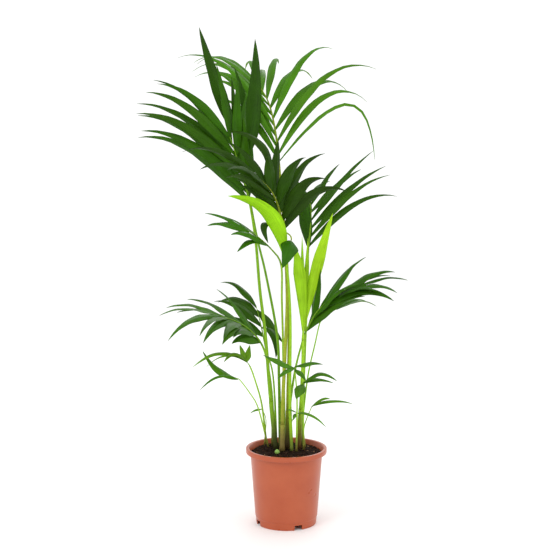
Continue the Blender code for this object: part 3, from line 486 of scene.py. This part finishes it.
def drooping(root, heading, wide, length, droop):
    """Centre line of a leaflet that bends down and turns its width level on the way."""
    d = unit(heading)
    w = unit(wide - d * (wide @ d))
    line, across = [np.array(root)], [w]
    for k in range(ALONG):
        t = (k + 0.5) / ALONG
        d = unit(d - UP * droop * t / ALONG)
        level = np.cross(d, UP)
        if np.linalg.norm(level) > UPRIGHT:
            level = unit(level) * (1 if level @ w >= 0 else -1)
            w = w + level * LEVELLING * t / ALONG
        w = unit(w - d * (w @ d))
        line.append(line[-1] + d * length / ALONG)
        across.append(w)
    return np.array(line), np.array(across)


def bowed(root, tip, bow, face):
    """Centre line of a single blade from root to tip, with its width across the face."""
    root, tip = np.array(root), np.array(tip, float)
    crest = (root + tip) / 2 + 2 * np.array(bow)
    share = np.linspace(0, 1, FINE + 1)[:, None]
    curve = root * (1 - share) ** 2 + crest * 2 * share * (1 - share) + tip * share**2
    run = np.concatenate(([0.0], np.cumsum(np.linalg.norm(np.diff(curve, axis=0), axis=1))))
    line = stretch((curve, run), 0.0, run[-1], ALONG + 1)
    w = np.cross(tip - root, face)
    across = []
    for k in range(len(line)):
        d = unit(line[min(k + 1, ALONG)] - line[max(k - 1, 0)])
        w = unit(w - d * (w @ d))
        across.append(w)
    return line, np.array(across)


def frond_blades(leaf, rib, seed):
    """Centre line, width directions, width and widest place of every leaflet of a frond."""
    rng = np.random.default_rng(seed)
    face = unit(np.array(leaf["face"], float))
    run = np.concatenate(([0.0], np.cumsum(np.linalg.norm(np.diff(rib, axis=0), axis=1))))

    def on_rib(at):
        near = [min(max(at + step, 0.0), 1.0) * run[-1] for step in (0.0, -RIB_LOOK, RIB_LOOK)]
        here, before, after = (np.array([np.interp(q, run, rib[:, k]) for k in range(3)]) for q in near)
        return here, unit(after - before)

    blades = []
    for side in (-1, 1):
        half = leaf.get("left" if side < 0 else "right")
        for k in range(half["count"] if half else 0):
            t = k / max(half["count"] - 1, 1)
            root, along = on_rib(ramp(half["on"], t))
            up = unit(face - along * (face @ along))
            out = np.cross(along, up) * side
            a = math.radians(ramp(half["sweep"], t))
            lift = math.radians(ramp(half["lift"], t) + (FAN if k % 2 else -FAN))
            heading = math.cos(a) * along + math.sin(a) * (math.cos(lift) * out + math.sin(lift) * up)
            heading = heading + rng.uniform(-HEADING_SPREAD, HEADING_SPREAD, 3)
            length = ramp(half["reach"], t) * (1 + rng.uniform(-LENGTH_SPREAD, LENGTH_SPREAD))
            line = drooping(root - unit(heading) * BEHIND, heading, along, length, ramp(half["droop"], t))
            blades.append((*line, ramp(half["width"], t), LEAFLET_PEAK))
    for one in leaf.get("blades", ()):
        root, along = on_rib(one["at"])
        back = unit(np.array(one["tip"]) - root) * BEHIND
        blades.append((*bowed(root - back, one["tip"], one["bow"], face), one["width"], one["peak"]))
    return blades, face


def outline(t, peak):
    """Width of a leaflet at share t of its length, as a share of its greatest width."""
    if t < peak:
        return ROOT_WIDTH + (1 - ROOT_WIDTH) * math.sin(t / peak * math.pi / 2)
    return max(1 - (t - peak) / (1 - peak), 0.0) ** TIP_POWER


# Modelling

def finished(name, bm, material, slot, nodes):
    """Turns a bmesh into a piece that rides the plant and stands for the given nodes."""
    mesh = bpy.data.meshes.new(name)
    bm.to_mesh(mesh)
    bm.free()
    mesh.materials.append(material)
    mesh.shade_smooth()
    piece = bpy.data.objects.new(name, mesh)
    bpy.context.scene.collection.objects.link(piece)
    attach(piece, "root")
    if nodes:
        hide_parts(*nodes)
    return piece


def blade_frames(blade, face):
    """Middle, width direction, upward direction and half width at each step of a leaflet."""
    line, across, width, peak = blade
    upper = face
    frames = []
    for k in range(ALONG + 1):
        d = unit(line[min(k + 1, ALONG)] - line[max(k - 1, 0)])
        n = np.cross(across[k], d)
        n = unit(n if n @ upper >= 0 else -n)
        upper = n
        frames.append((line[k], across[k], n, max(width * outline(k / ALONG, peak), TIP_WIDTH) / 2))
    flipped = np.cross(across[0], unit(line[1] - line[0])) @ frames[0][2] < 0
    return frames, flipped


def relief(s, half, run, phase):
    """Height of the upper side: a fold along the middle, fine pleats and wavy edges."""
    fold = -FOLD * half * abs(s)
    pleat = PLEAT * math.cos(abs(s) * PLEATS_EACH_SIDE * 2 * math.pi) * min(half / PLEAT_FULL_HALF, 1.0)
    swing = math.sin(phase + run / WAVE_LENGTH * 2 * math.pi + s)
    return fold + pleat + WAVE * s * abs(s) * swing * min(half / WAVE_FULL_HALF, 1.0)


def add_leaflet(bm, tone, uv, blade, face, colours, rng):
    """One thin blade: a grid laid along the leaflet, folded, pleated and thickened."""
    length = np.linalg.norm(np.diff(blade[0], axis=0), axis=1).sum()
    phase = rng.uniform(0.0, 2 * math.pi)
    grid = bmesh.ops.create_grid(bm, x_segments=ACROSS, y_segments=ALONG, size=1.0)["verts"]
    frames, flipped = blade_frames(blade, face)
    spots = {}
    for vert in grid:
        s = vert.co.x
        k = round((vert.co.y + 1) / 2 * ALONG)
        place, w, n, half = frames[k]
        run = k / ALONG * length
        spots[vert] = (s * half, run)
        vert.co = Vector(place + w * half * s + n * relief(s, half, run, phase))
    faces = list({f for vert in grid for f in vert.link_faces})
    if flipped:
        bmesh.ops.reverse_faces(bm, faces=faces)
    for part in faces + grid:
        part.normal_update()
    shade = rng.uniform(*SHADE_RANGE)
    warm = rng.uniform(-WARM_SPREAD, WARM_SPREAD)
    top = tuple(min(c * shade * m, 1.0) for c, m in zip(colours[0], (1 + warm, 1.0, 1 - warm)))
    under = tuple(min(c * shade, 1.0) for c in colours[1])
    for f in faces:
        for loop in f.loops:
            loop[uv].uv = spots[loop.vert]
            loop[tone] = (*top, 1.0)
    shell = bmesh.ops.solidify(bm, geom=faces, thickness=LEAF_THICKNESS)["geom"]
    for f in (part for part in shell if isinstance(part, bmesh.types.BMFace)):
        for loop in f.loops:
            loop[tone] = (*under, 1.0)


def tube_mesh(line, radii, sides):
    """Mesh of a tapering limb: a curve with a bevel and filled caps."""
    curve = bpy.data.curves.new("limb", "CURVE")
    curve.dimensions = "3D"
    curve.bevel_depth = 1.0
    curve.bevel_resolution = sides // 2 - 2
    curve.use_fill_caps = True
    path = curve.splines.new("POLY")
    path.points.add(len(line) - 1)
    for point, place, radius in zip(path.points, line, radii):
        point.co = (*place, 1.0)
        point.radius = radius
    thing = bpy.data.objects.new("limb", curve)
    bpy.context.scene.collection.objects.link(thing)
    bpy.context.view_layer.update()
    mesh = bpy.data.meshes.new_from_object(thing.evaluated_get(bpy.context.evaluated_depsgraph_get()))
    bpy.data.objects.remove(thing, do_unlink=True)
    bpy.data.curves.remove(curve)
    return mesh


def add_limb(bm, tone, line, radii, colour_at, sides):
    """Adds a limb to a joined mesh, coloured by its height above the soil."""
    mesh = tube_mesh(line, radii, sides)
    known = set(bm.verts)
    bm.from_mesh(mesh)
    bpy.data.meshes.remove(mesh)
    fresh = [vert for vert in bm.verts if vert not in known]
    bmesh.ops.remove_doubles(bm, verts=fresh, dist=WELD)
    fresh = [vert for vert in bm.verts if vert not in known]
    faces = list({f for vert in fresh for f in vert.link_faces})
    bmesh.ops.recalc_face_normals(bm, faces=faces)
    if line[0][2] == GROUND:
        for vert in fresh:
            if (vert.co - Vector(line[0])).length < radii[0] * FLAT_FOOT_REACH:
                vert.co.z = GROUND
    for f in faces:
        for loop in f.loops:
            loop[tone] = (*colour_at(loop.vert.co.z), 1.0)


def mixed(a, b, t):
    """Colour that passes softly from a to b."""
    t = min(max(t, 0.0), 1.0)
    t = t * t * (3 - 2 * t)
    return tuple(p + (q - p) * t for p, q in zip(a, b))


def limb_runs(leaf):
    """Kind, centre line and radii of a leaf's limbs: its sheath, its stalk and its rib."""
    curve = course(leaf["stalk"] + leaf["rib"])
    collar, finish = curve[1][FINE * len(leaf["stalk"])], curve[1][-1]
    r0, r1 = leaf["size"]
    start = 0.0
    if leaf.get("sheath"):
        sheath = leaf["sheath"]
        count = max(SHEATH_POINTS, round(sheath / LIMB_SPACING))
        radii = [limb_radius(k / (count - 1) * sheath, r0, 1 - (1 - SHEATH_TAPER) * k / (count - 1))
                 for k in range(count)]
        yield "sheaths", stretch(curve, 0.0, sheath, count), radii
        start = sheath + GAP
        r0 *= SHEATH_TAPER * STALK_IN_SHEATH
    has_rib = len(leaf["rib"]) > 1
    end = collar - GAP if has_rib else finish
    count = max(STALK_POINTS, round((end - start) / LIMB_SPACING))
    shares = [k / (count - 1) for k in range(count)]
    radii = [r1 + (r0 - r1) * (1 - t) ** LIMB_TAPER_POWER for t in shares]
    if not start and leaf["stalk"][0][2] == GROUND:
        radii = [limb_radius(t * end, radius, 1.0) for t, radius in zip(shares, radii)]
    yield "stalks", stretch(curve, start, end, count), radii
    if has_rib:
        count = max(RIB_POINTS, round((finish - collar) / LIMB_SPACING))
        thinning = (1 - RIB_TIP_SHARE) / (count - 1)
        radii = [max(r1 * (1 - thinning * k), RIB_TIP_RADIUS) for k in range(count)]
        yield "ribs", stretch(curve, collar, finish, count), radii


def grow_leaf(name, leaf, seed, meshes, stands_for):
    """Adds the limbs and leaflets of one leaf to the joined meshes of their kinds."""
    top, under, stalk, foot = (linear(tone) for tone in TONES[name])
    brown = BROWN_HEIGHT * (BROWN_SHEATHED if leaf.get("sheath") else BROWN_BARE)
    rib_colour = mixed(stalk, top, RIB_GREENING)

    def by_height(z):
        return mixed(foot, stalk, (z - GROUND) / brown)

    for kind, line, radii in limb_runs(leaf):
        bm, tone, _ = meshes[kind]
        if kind == "ribs":
            add_limb(bm, tone, line, radii, lambda z: rib_colour, LIMB_SIDES[kind])
            # Young leaflets get a mesh of their own; their bright tones hold painted light shining through
            # the blades
            leaves = "young_leaflets_painted_glow" if name.startswith("young") else "leaflets"
            bm, tone, uv = meshes[leaves]
            rng = np.random.default_rng(COLOUR_SEED + seed)
            blades, face = frond_blades(leaf, line, seed)
            for blade in blades:
                add_leaflet(bm, tone, uv, blade, face, (top, under), rng)
            stands_for[leaves].append("frond_" + name)
        else:
            add_limb(bm, tone, line, radii, by_height, LIMB_SIDES[kind])
            stands_for[kind].append(("stem_" if kind == "sheaths" else "stalk_") + name)


def grow_palm(leaf_material, limb_material):
    """Leaflets, ribs, stalks and sheaths of every leaf, joined by kind."""
    stands_for = {"leaflets": [], "young_leaflets_painted_glow": [], "ribs": [], "stalks": [], "sheaths": []}
    meshes = {}
    for kind in stands_for:
        bm = bmesh.new()
        meshes[kind] = (bm, bm.loops.layers.float_color.new("tone"), bm.loops.layers.uv.new("blade"))
    for seed, (name, leaf) in enumerate(LEAVES.items()):
        grow_leaf(name, leaf, seed, meshes, stands_for)
    stands_for["ribs"] = stands_for["leaflets"] + stands_for["young_leaflets_painted_glow"]
    for kind, material, slot in (("leaflets", leaf_material, "green_leaf"),
                                 ("young_leaflets_painted_glow", leaf_material, "young_leaf"),
                                 ("ribs", limb_material, "green_leaf"),
                                 ("stalks", limb_material, "green_stalk"),
                                 ("sheaths", limb_material, "brown_sheath")):
        finished(kind, meshes[kind][0], material, slot, stands_for[kind])


def limb_radius(height, radius, share):
    """Radius of a limb above the soil, with the flare at its foot."""
    flare = 1 + (FLARE - 1) * max(1 - height / FLARE_HEIGHT, 0.0) ** FLARE_POWER
    return radius * share * flare


def pot_radius(z):
    """Outer radius of the pot's wall at a height."""
    return FOOT_RADIUS + (NECK_RADIUS - FOOT_RADIUS) * z / POT_HEIGHT


def rounded(corners, radius):
    """Profile points; a corner given as (r, z, True) is rounded off."""
    points = []
    for k, (r, z, soft) in enumerate(corners):
        here = np.array((r, z))
        if not soft:
            points.append(tuple(here))
            continue
        before, after = (np.array(corners[k + step][:2]) for step in (-1, 1))
        cut = [here + unit(end - here) * min(radius, np.linalg.norm(end - here) * ROUND_SHARE)
               for end in (before, after)]
        for m in range(ROUND_POINTS + 1):
            t = m / ROUND_POINTS
            points.append(tuple(cut[0] * (1 - t) ** 2 + here * 2 * t * (1 - t) + cut[1] * t**2))
    return points


def pot_profile():
    """Corners of the wall, from the middle of the floor inside, over the lip, to below."""
    lip_bottom = POT_HEIGHT - LIP_HEIGHT
    floor = FLOOR_UNDERSIDE + FLOOR_THICKNESS
    foot = FOOT_RADIUS - FOOT_STEP
    return [
        (0.0, FLOOR_THICKNESS, False),
        (CENTRE_RADIUS - WALL, FLOOR_THICKNESS, True),
        (CENTRE_RADIUS, floor, True),
        (pot_radius(floor) - WALL, floor, True),
        (pot_radius(lip_bottom) - WALL, lip_bottom, True),
        (LIP_RADIUS - LIP_WIDTH, POT_HEIGHT, True),
        (LIP_RADIUS, POT_HEIGHT, True),
        (LIP_RADIUS, lip_bottom, True),
        (pot_radius(lip_bottom) + LIP_CREASE / 2, lip_bottom - LIP_CREASE, True),
        (pot_radius(FOOT_STEP_HEIGHT), FOOT_STEP_HEIGHT, True),
        (pot_radius(FOOT_STEP_HEIGHT) - FOOT_STEP, FOOT_STEP_HEIGHT - FOOT_STEP_FALL, True),
        (foot, 0.0, True),
        (foot - WALL, 0.0, True),
        (foot - WALL, FLOOR_UNDERSIDE, True),
        (CENTRE_RADIUS + WALL, FLOOR_UNDERSIDE, True),
        (CENTRE_RADIUS, 0.0, True),
        (0.0, 0.0, False),
    ]


def loose_object(name, bm):
    """Object with a mesh of its own, outside every collection."""
    mesh = bpy.data.meshes.new(name)
    bm.to_mesh(mesh)
    bm.free()
    return bpy.data.objects.new(name, mesh)


def notch_cutters():
    """Blocks that cut the drain notches round the foot."""
    cutters = bpy.data.collections.new("notch cutters")
    for k in range(NOTCH_COUNT):
        angle = -math.pi / 2 + NOTCH_TURN + k * 2 * math.pi / NOTCH_COUNT
        bm = bmesh.new()
        bmesh.ops.create_cube(bm, size=1.0)
        bmesh.ops.scale(bm, verts=bm.verts, vec=(NOTCH_DEPTH, NOTCH_WIDTH, 2 * NOTCH_HEIGHT))
        bmesh.ops.translate(bm, verts=bm.verts, vec=(FOOT_RADIUS, 0.0, 0.0))
        bmesh.ops.rotate(bm, verts=bm.verts, cent=(0, 0, 0), matrix=Matrix.Rotation(angle, 3, "Z"))
        cutters.objects.link(loose_object("notch", bm))
    return cutters


def make_pot(material):
    """Tapered shell with a rolled lip, a foot ring round a sunk floor centre and drain notches."""
    bm = bmesh.new()
    verts = [bm.verts.new((r, 0.0, z)) for r, z in rounded(pot_profile(), POT_ROUND)]
    edges = [bm.edges.new(pair) for pair in zip(verts, verts[1:])]
    bmesh.ops.spin(bm, geom=verts + edges, cent=(0, 0, 0), axis=(0, 0, 1), dvec=(0, 0, 0),
                   angle=2 * math.pi, steps=POT_STEPS, use_merge=True, use_duplicate=False)
    bmesh.ops.remove_doubles(bm, verts=bm.verts, dist=POT_WELD)
    bmesh.ops.recalc_face_normals(bm, faces=bm.faces)
    shell = loose_object("pot shell", bm)
    bpy.context.scene.collection.objects.link(shell)
    cutters = notch_cutters()
    cut = shell.modifiers.new("notches", "BOOLEAN")
    cut.operation = "DIFFERENCE"
    cut.operand_type = "COLLECTION"
    cut.collection = cutters
    cut.solver = "EXACT"
    bpy.context.view_layer.update()
    whole = bpy.data.meshes.new_from_object(shell.evaluated_get(bpy.context.evaluated_depsgraph_get()))
    bpy.data.objects.remove(shell, do_unlink=True)
    for cube in list(cutters.objects):
        bpy.data.objects.remove(cube, do_unlink=True)
    bpy.data.collections.remove(cutters)
    bm = bmesh.new()
    bm.from_mesh(whole)
    bpy.data.meshes.remove(whole)
    piece = finished("pot_shell", bm, material, "terracotta_plastic", ["pot"])
    piece.data.set_sharp_from_angle(angle=SHARP_ANGLE)


def soil_height(x, y):
    """Height of the rough soil surface: lumps, crumbs and the drop to the wall."""
    r = math.hypot(x, y)
    height = SOIL_TOP - SOIL_SINK
    height -= SOIL_EDGE_DROP * max((r - SOIL_FLAT_RADIUS) / (SOIL_WALL_RADIUS - SOIL_FLAT_RADIUS), 0.0)
    for per_metre, layer, rise in SOIL_LUMPS:
        height += noise.noise(Vector((x * per_metre, y * per_metre, layer))) * rise
    return height


def soil_radius():
    """Radius of the soil where it meets the wall, clear of it."""
    return pot_radius(SOIL_TOP - SOIL_EDGE_DROP) - WALL - 2 * GAP


def make_soil(material):
    """Rough soil surface with a skirt down inside the pot."""
    radius = soil_radius()
    bm = bmesh.new()
    grid = bmesh.ops.create_grid(bm, x_segments=SOIL_GRID, y_segments=SOIL_GRID, size=1.0)["verts"]
    for vert in grid:
        x, y = vert.co.x, vert.co.y
        u, v = x * math.sqrt(1 - y * y / 2), y * math.sqrt(1 - x * x / 2)
        vert.co = (u * radius, v * radius, soil_height(u * radius, v * radius))
    rim = [edge for edge in bm.edges if edge.is_boundary]
    skirt = bmesh.ops.extrude_edge_only(bm, edges=rim)["geom"]
    for vert in (part for part in skirt if isinstance(part, bmesh.types.BMVert)):
        vert.co.z = SOIL_TOP - SOIL_EDGE_DROP - SOIL_SKIRT
    bmesh.ops.contextual_create(bm, geom=[part for part in skirt if isinstance(part, bmesh.types.BMEdge)])
    bmesh.ops.recalc_face_normals(bm, faces=bm.faces)
    finished("soil_surface", bm, material, "potting_soil", ["soil"])


def make_crumbs(material):
    """Crumbs of bark and peat strewn over the soil, each in one of a few browns."""
    rng = np.random.default_rng(CRUMB_SEED)
    radius = soil_radius()
    bm = bmesh.new()
    tone = bm.loops.layers.float_color.new("tone")
    shades = [linear(shade) for shade in CRUMB_SHADES]
    for _ in range(CRUMB_COUNT):
        r = radius * math.sqrt(rng.uniform(0.0, CRUMB_REACH))
        a = rng.uniform(0, 2 * math.pi)
        x, y = r * math.cos(a), r * math.sin(a)
        size = rng.uniform(*CRUMB_SIZE)
        verts = bmesh.ops.create_icosphere(bm, subdivisions=1, radius=size)["verts"]
        bmesh.ops.scale(bm, verts=verts, vec=rng.uniform(*CRUMB_STRETCH, 3))
        turn = Matrix.Rotation(rng.uniform(0, FULL_TURN), 3, Vector(rng.uniform(-1, 1, 3)).normalized())
        bmesh.ops.rotate(bm, verts=verts, cent=(0, 0, 0), matrix=turn)
        bmesh.ops.translate(bm, verts=verts, vec=(x, y, soil_height(x, y) + size * CRUMB_RISE))
        shade = shades[int(rng.choice(len(shades), p=list(CRUMB_SHADES.values())))]
        for f in {f for vert in verts for f in vert.link_faces}:
            for loop in f.loops:
                loop[tone] = (*shade, 1.0)
    crumbs = finished("soil_crumbs", bm, material, "potting_soil", [])
    crumbs.data.shade_flat()


def make_seed(material):
    """Spent seed that lies on the soil: a ball with a flat seat and a short beak."""
    bm = bmesh.new()
    verts = bmesh.ops.create_uvsphere(bm, u_segments=32, v_segments=20, radius=SEED_RADIUS)["verts"]
    for vert in verts:
        height = vert.co.z / SEED_RADIUS
        if height > BEAK_START:
            vert.co.z += (height - BEAK_START) ** 2 * BEAK_RISE
        rough = 1 + HUSK_ROUGHNESS * noise.noise(vert.co * HUSK_LUMPS_PER_METRE)
        vert.co = (vert.co.x * rough, vert.co.y * rough, max(vert.co.z, -SEED_RISE * SEED_RADIUS))
    bmesh.ops.translate(bm, verts=bm.verts, vec=(*SEED_PLACE, GROUND + SEED_RADIUS * SEED_RISE))
    finished("seed_husk", bm, material, "seed_husk", ["seed"])


# Materials

def new_material(name):
    """Empty node material with its shader and output."""
    material = bpy.data.materials.new(name)
    material.use_nodes = True
    return material, material.node_tree, material.node_tree.nodes["Principled BSDF"]


def add(tree, kind, settings=(), **links):
    """Adds a node with settings, and links or sets its inputs by name."""
    node = tree.nodes.new(kind)
    for key, value in dict(settings).items():
        setattr(node, key, value)
    for key, value in links.items():
        socket = node.inputs[int(key[1:])] if key[1:].isdigit() else node.inputs[key.replace("_", " ")]
        if isinstance(value, bpy.types.NodeSocket):
            tree.links.new(value, socket)
        else:
            socket.default_value = value
    return node


def speckled(tree, vector, size_mm, detail=4.0):
    """Noise whose grains are about the given size on the real object."""
    return add(tree, "ShaderNodeTexNoise", Vector=vector, Scale=1000.0 / size_mm, Detail=detail,
               Roughness=GRAIN_ROUGHNESS)


def graded(tree, value, low, high, from_min=0.3, from_max=0.7):
    """Maps a noise value onto a range."""
    return add(tree, "ShaderNodeMapRange", Value=value, From_Min=from_min, From_Max=from_max,
               To_Min=low, To_Max=high).outputs["Result"]


def shaded(tree, colour, factor):
    """Colour multiplied by a factor."""
    return add(tree, "ShaderNodeVectorMath", {"operation": "SCALE"}, i0=colour, i3=factor).outputs["Vector"]


def blended(tree, share, first, second):
    """Colour between two hex colours, by a share."""
    mix = add(tree, "ShaderNodeMix", {"data_type": "RGBA"}, i0=share, i6=(*linear(first), 1.0),
              i7=(*linear(second), 1.0))
    return mix.outputs[2]


def dressed(tree, shader, colour, roughness, height=None, strength=0.0, distance=0.0):
    """Gives a shader its colour, its roughness and, where there is a height, its fine relief."""
    tree.links.new(colour, shader.inputs["Base Color"])
    if isinstance(roughness, bpy.types.NodeSocket):
        tree.links.new(roughness, shader.inputs["Roughness"])
    else:
        shader.inputs["Roughness"].default_value = roughness
    if height is not None:
        bump = add(tree, "ShaderNodeBump", Strength=strength, Distance=distance, Height=height)
        tree.links.new(bump.outputs["Normal"], shader.inputs["Normal"])


def patterned(tree, streak, streak_range, blotch, blotch_range):
    """The colour stored on a piece, darker and lighter by its streaks and its blotches."""
    tone = add(tree, "ShaderNodeAttribute", {"attribute_name": "tone"}).outputs["Color"]
    factor = add(tree, "ShaderNodeMath", {"operation": "MULTIPLY"}, i0=graded(tree, streak, *streak_range),
                 i1=graded(tree, blotch, *blotch_range)).outputs["Value"]
    return shaded(tree, tone, factor)


def leaf_finish():
    """Living palm leaf: satin green with fine lengthwise veins, seen as streaks and soft ridges."""
    material, tree, shader = new_material("living palm leaf")
    blade = add(tree, "ShaderNodeUVMap", {"uv_map": "blade"}).outputs["UV"]
    veins = add(tree, "ShaderNodeMapping", Vector=blade, Scale=(1000.0, 14.0, 1.0)).outputs["Vector"]
    streak = add(tree, "ShaderNodeTexNoise", Vector=veins, Scale=1.1, Detail=2.0).outputs["Fac"]
    place = add(tree, "ShaderNodeTexCoord").outputs["Object"]
    blotch = speckled(tree, place, 45.0, 2.0).outputs["Fac"]
    colour = patterned(tree, streak, (0.74, 1.26), blotch, (0.86, 1.12))
    dressed(tree, shader, colour, graded(tree, blotch, 0.34, 0.48), streak, 0.25, 0.0003)
    shader.inputs["Specular IOR Level"].default_value = LEAF_SHEEN
    return material


def limb_finish():
    """Living stalk: smooth green rind with long pale fibres and small dark flecks."""
    material, tree, shader = new_material("living palm stalk")
    place = add(tree, "ShaderNodeTexCoord").outputs["Object"]
    fibres = add(tree, "ShaderNodeMapping", Vector=place, Scale=(900.0, 900.0, 22.0)).outputs["Vector"]
    streak = add(tree, "ShaderNodeTexNoise", Vector=fibres, Scale=0.8, Detail=3.0).outputs["Fac"]
    fleck = speckled(tree, place, 6.0).outputs["Fac"]
    colour = patterned(tree, streak, (0.80, 1.20), fleck, (0.85, 1.1))
    dressed(tree, shader, colour, graded(tree, fleck, 0.40, 0.58), streak, 0.35, 0.0003)
    shader.inputs["Specular IOR Level"].default_value = STALK_SHEEN
    return material


def plastic_finish():
    """Injection-moulded terracotta plastic: satin sheen, faintly uneven colour and a fine grain."""
    material, tree, shader = new_material("moulded terracotta plastic")
    place = add(tree, "ShaderNodeTexCoord").outputs["Object"]
    cloud = speckled(tree, place, 70.0, 3.0).outputs["Fac"]
    grain = speckled(tree, place, 1.2, 3.0).outputs["Fac"]
    clay = blended(tree, graded(tree, cloud, 0.0, 0.55), "a84a26", "b65a34")
    colour = shaded(tree, clay, graded(tree, grain, 0.95, 1.05))
    dressed(tree, shader, colour, graded(tree, cloud, 0.26, 0.38), grain, 0.15, 0.0002)
    return material


def soil_finish():
    """Damp peat soil: dark brown crumbs of mixed tone, quite dull."""
    material, tree, shader = new_material("damp potting soil")
    place = add(tree, "ShaderNodeTexCoord").outputs["Object"]
    crumb = speckled(tree, place, 3.0, 6.0).outputs["Fac"]
    colour = blended(tree, graded(tree, crumb, 0.0, 1.0, 0.35, 0.65), "0e0704", "2f1d12")
    dressed(tree, shader, colour, graded(tree, crumb, 0.80, 0.95), crumb, 0.6, 0.001)
    shader.inputs["Specular IOR Level"].default_value = SOIL_SHEEN
    return material


def crumb_finish():
    """Loose bits of bark and peat on the soil, each of its own brown."""
    material, tree, shader = new_material("loose bark crumbs")
    tone = add(tree, "ShaderNodeAttribute", {"attribute_name": "tone"}).outputs["Color"]
    place = add(tree, "ShaderNodeTexCoord").outputs["Object"]
    grain = speckled(tree, place, 1.0).outputs["Fac"]
    dressed(tree, shader, shaded(tree, tone, graded(tree, grain, 0.7, 1.3)), 0.9)
    shader.inputs["Specular IOR Level"].default_value = SOIL_SHEEN
    return material


def husk_finish():
    """Green husk of the seed: dull, with paler and darker green blotches."""
    material, tree, shader = new_material("green seed husk")
    place = add(tree, "ShaderNodeTexCoord").outputs["Object"]
    spot = speckled(tree, place, 2.5).outputs["Fac"]
    dressed(tree, shader, blended(tree, graded(tree, spot, 0.0, 1.0), "6f9a34", "9cc060"), 0.55)
    return material


def floor_finish():
    """Plain pale studio floor."""
    material, _, shader = new_material("pale studio floor")
    shader.inputs["Base Color"].default_value = FLOOR_WHITE
    shader.inputs["Roughness"].default_value = 0.7
    return material


# Studio

def make_floor():
    """Large pale floor that the pot stands on."""
    bm = bmesh.new()
    bmesh.ops.create_grid(bm, x_segments=1, y_segments=1, size=FLOOR_HALF)
    mesh = bpy.data.meshes.new("floor")
    bm.to_mesh(mesh)
    bm.free()
    mesh.materials.append(floor_finish())
    floor = bpy.data.objects.new("floor", mesh)
    bpy.context.scene.collection.objects.link(floor)


def make_lights():
    """White surroundings and three soft lamps that look at the middle of the plant."""
    world = bpy.data.worlds.new("studio")
    world.use_nodes = True
    world.node_tree.nodes["Background"].inputs["Color"].default_value = (1.0, 1.0, 1.0, 1.0)
    world.node_tree.nodes["Background"].inputs["Strength"].default_value = WORLD_STRENGTH
    bpy.context.scene.world = world
    bpy.context.scene.view_settings.view_transform = "Standard"
    for name, place, size, power in LAMPS:
        light = bpy.data.lights.new(name, "AREA")
        light.size = size
        light.energy = power
        lamp = bpy.data.objects.new(name, light)
        lamp.location = place
        lamp.rotation_euler = (Vector(LAMP_TARGET) - Vector(place)).to_track_quat("-Z", "Y").to_euler()
        bpy.context.scene.collection.objects.link(lamp)


def make_camera():
    """Camera of the front view."""
    lens = bpy.data.cameras.new("front view")
    lens.sensor_width = SENSOR
    lens.lens = SENSOR * FOCAL_PX / IMAGE_PX
    camera = bpy.data.objects.new("front view", lens)
    camera.location = CAMERA_PLACE
    camera.rotation_euler = (math.pi / 2 - CAMERA_PITCH, 0.0, 0.0)
    bpy.context.scene.collection.objects.link(camera)
    bpy.context.scene.camera = camera


grow_palm(leaf_finish(), limb_finish())
make_pot(plastic_finish())
make_soil(soil_finish())
make_crumbs(crumb_finish())
make_seed(husk_finish())
make_floor()
make_lights()
make_camera()
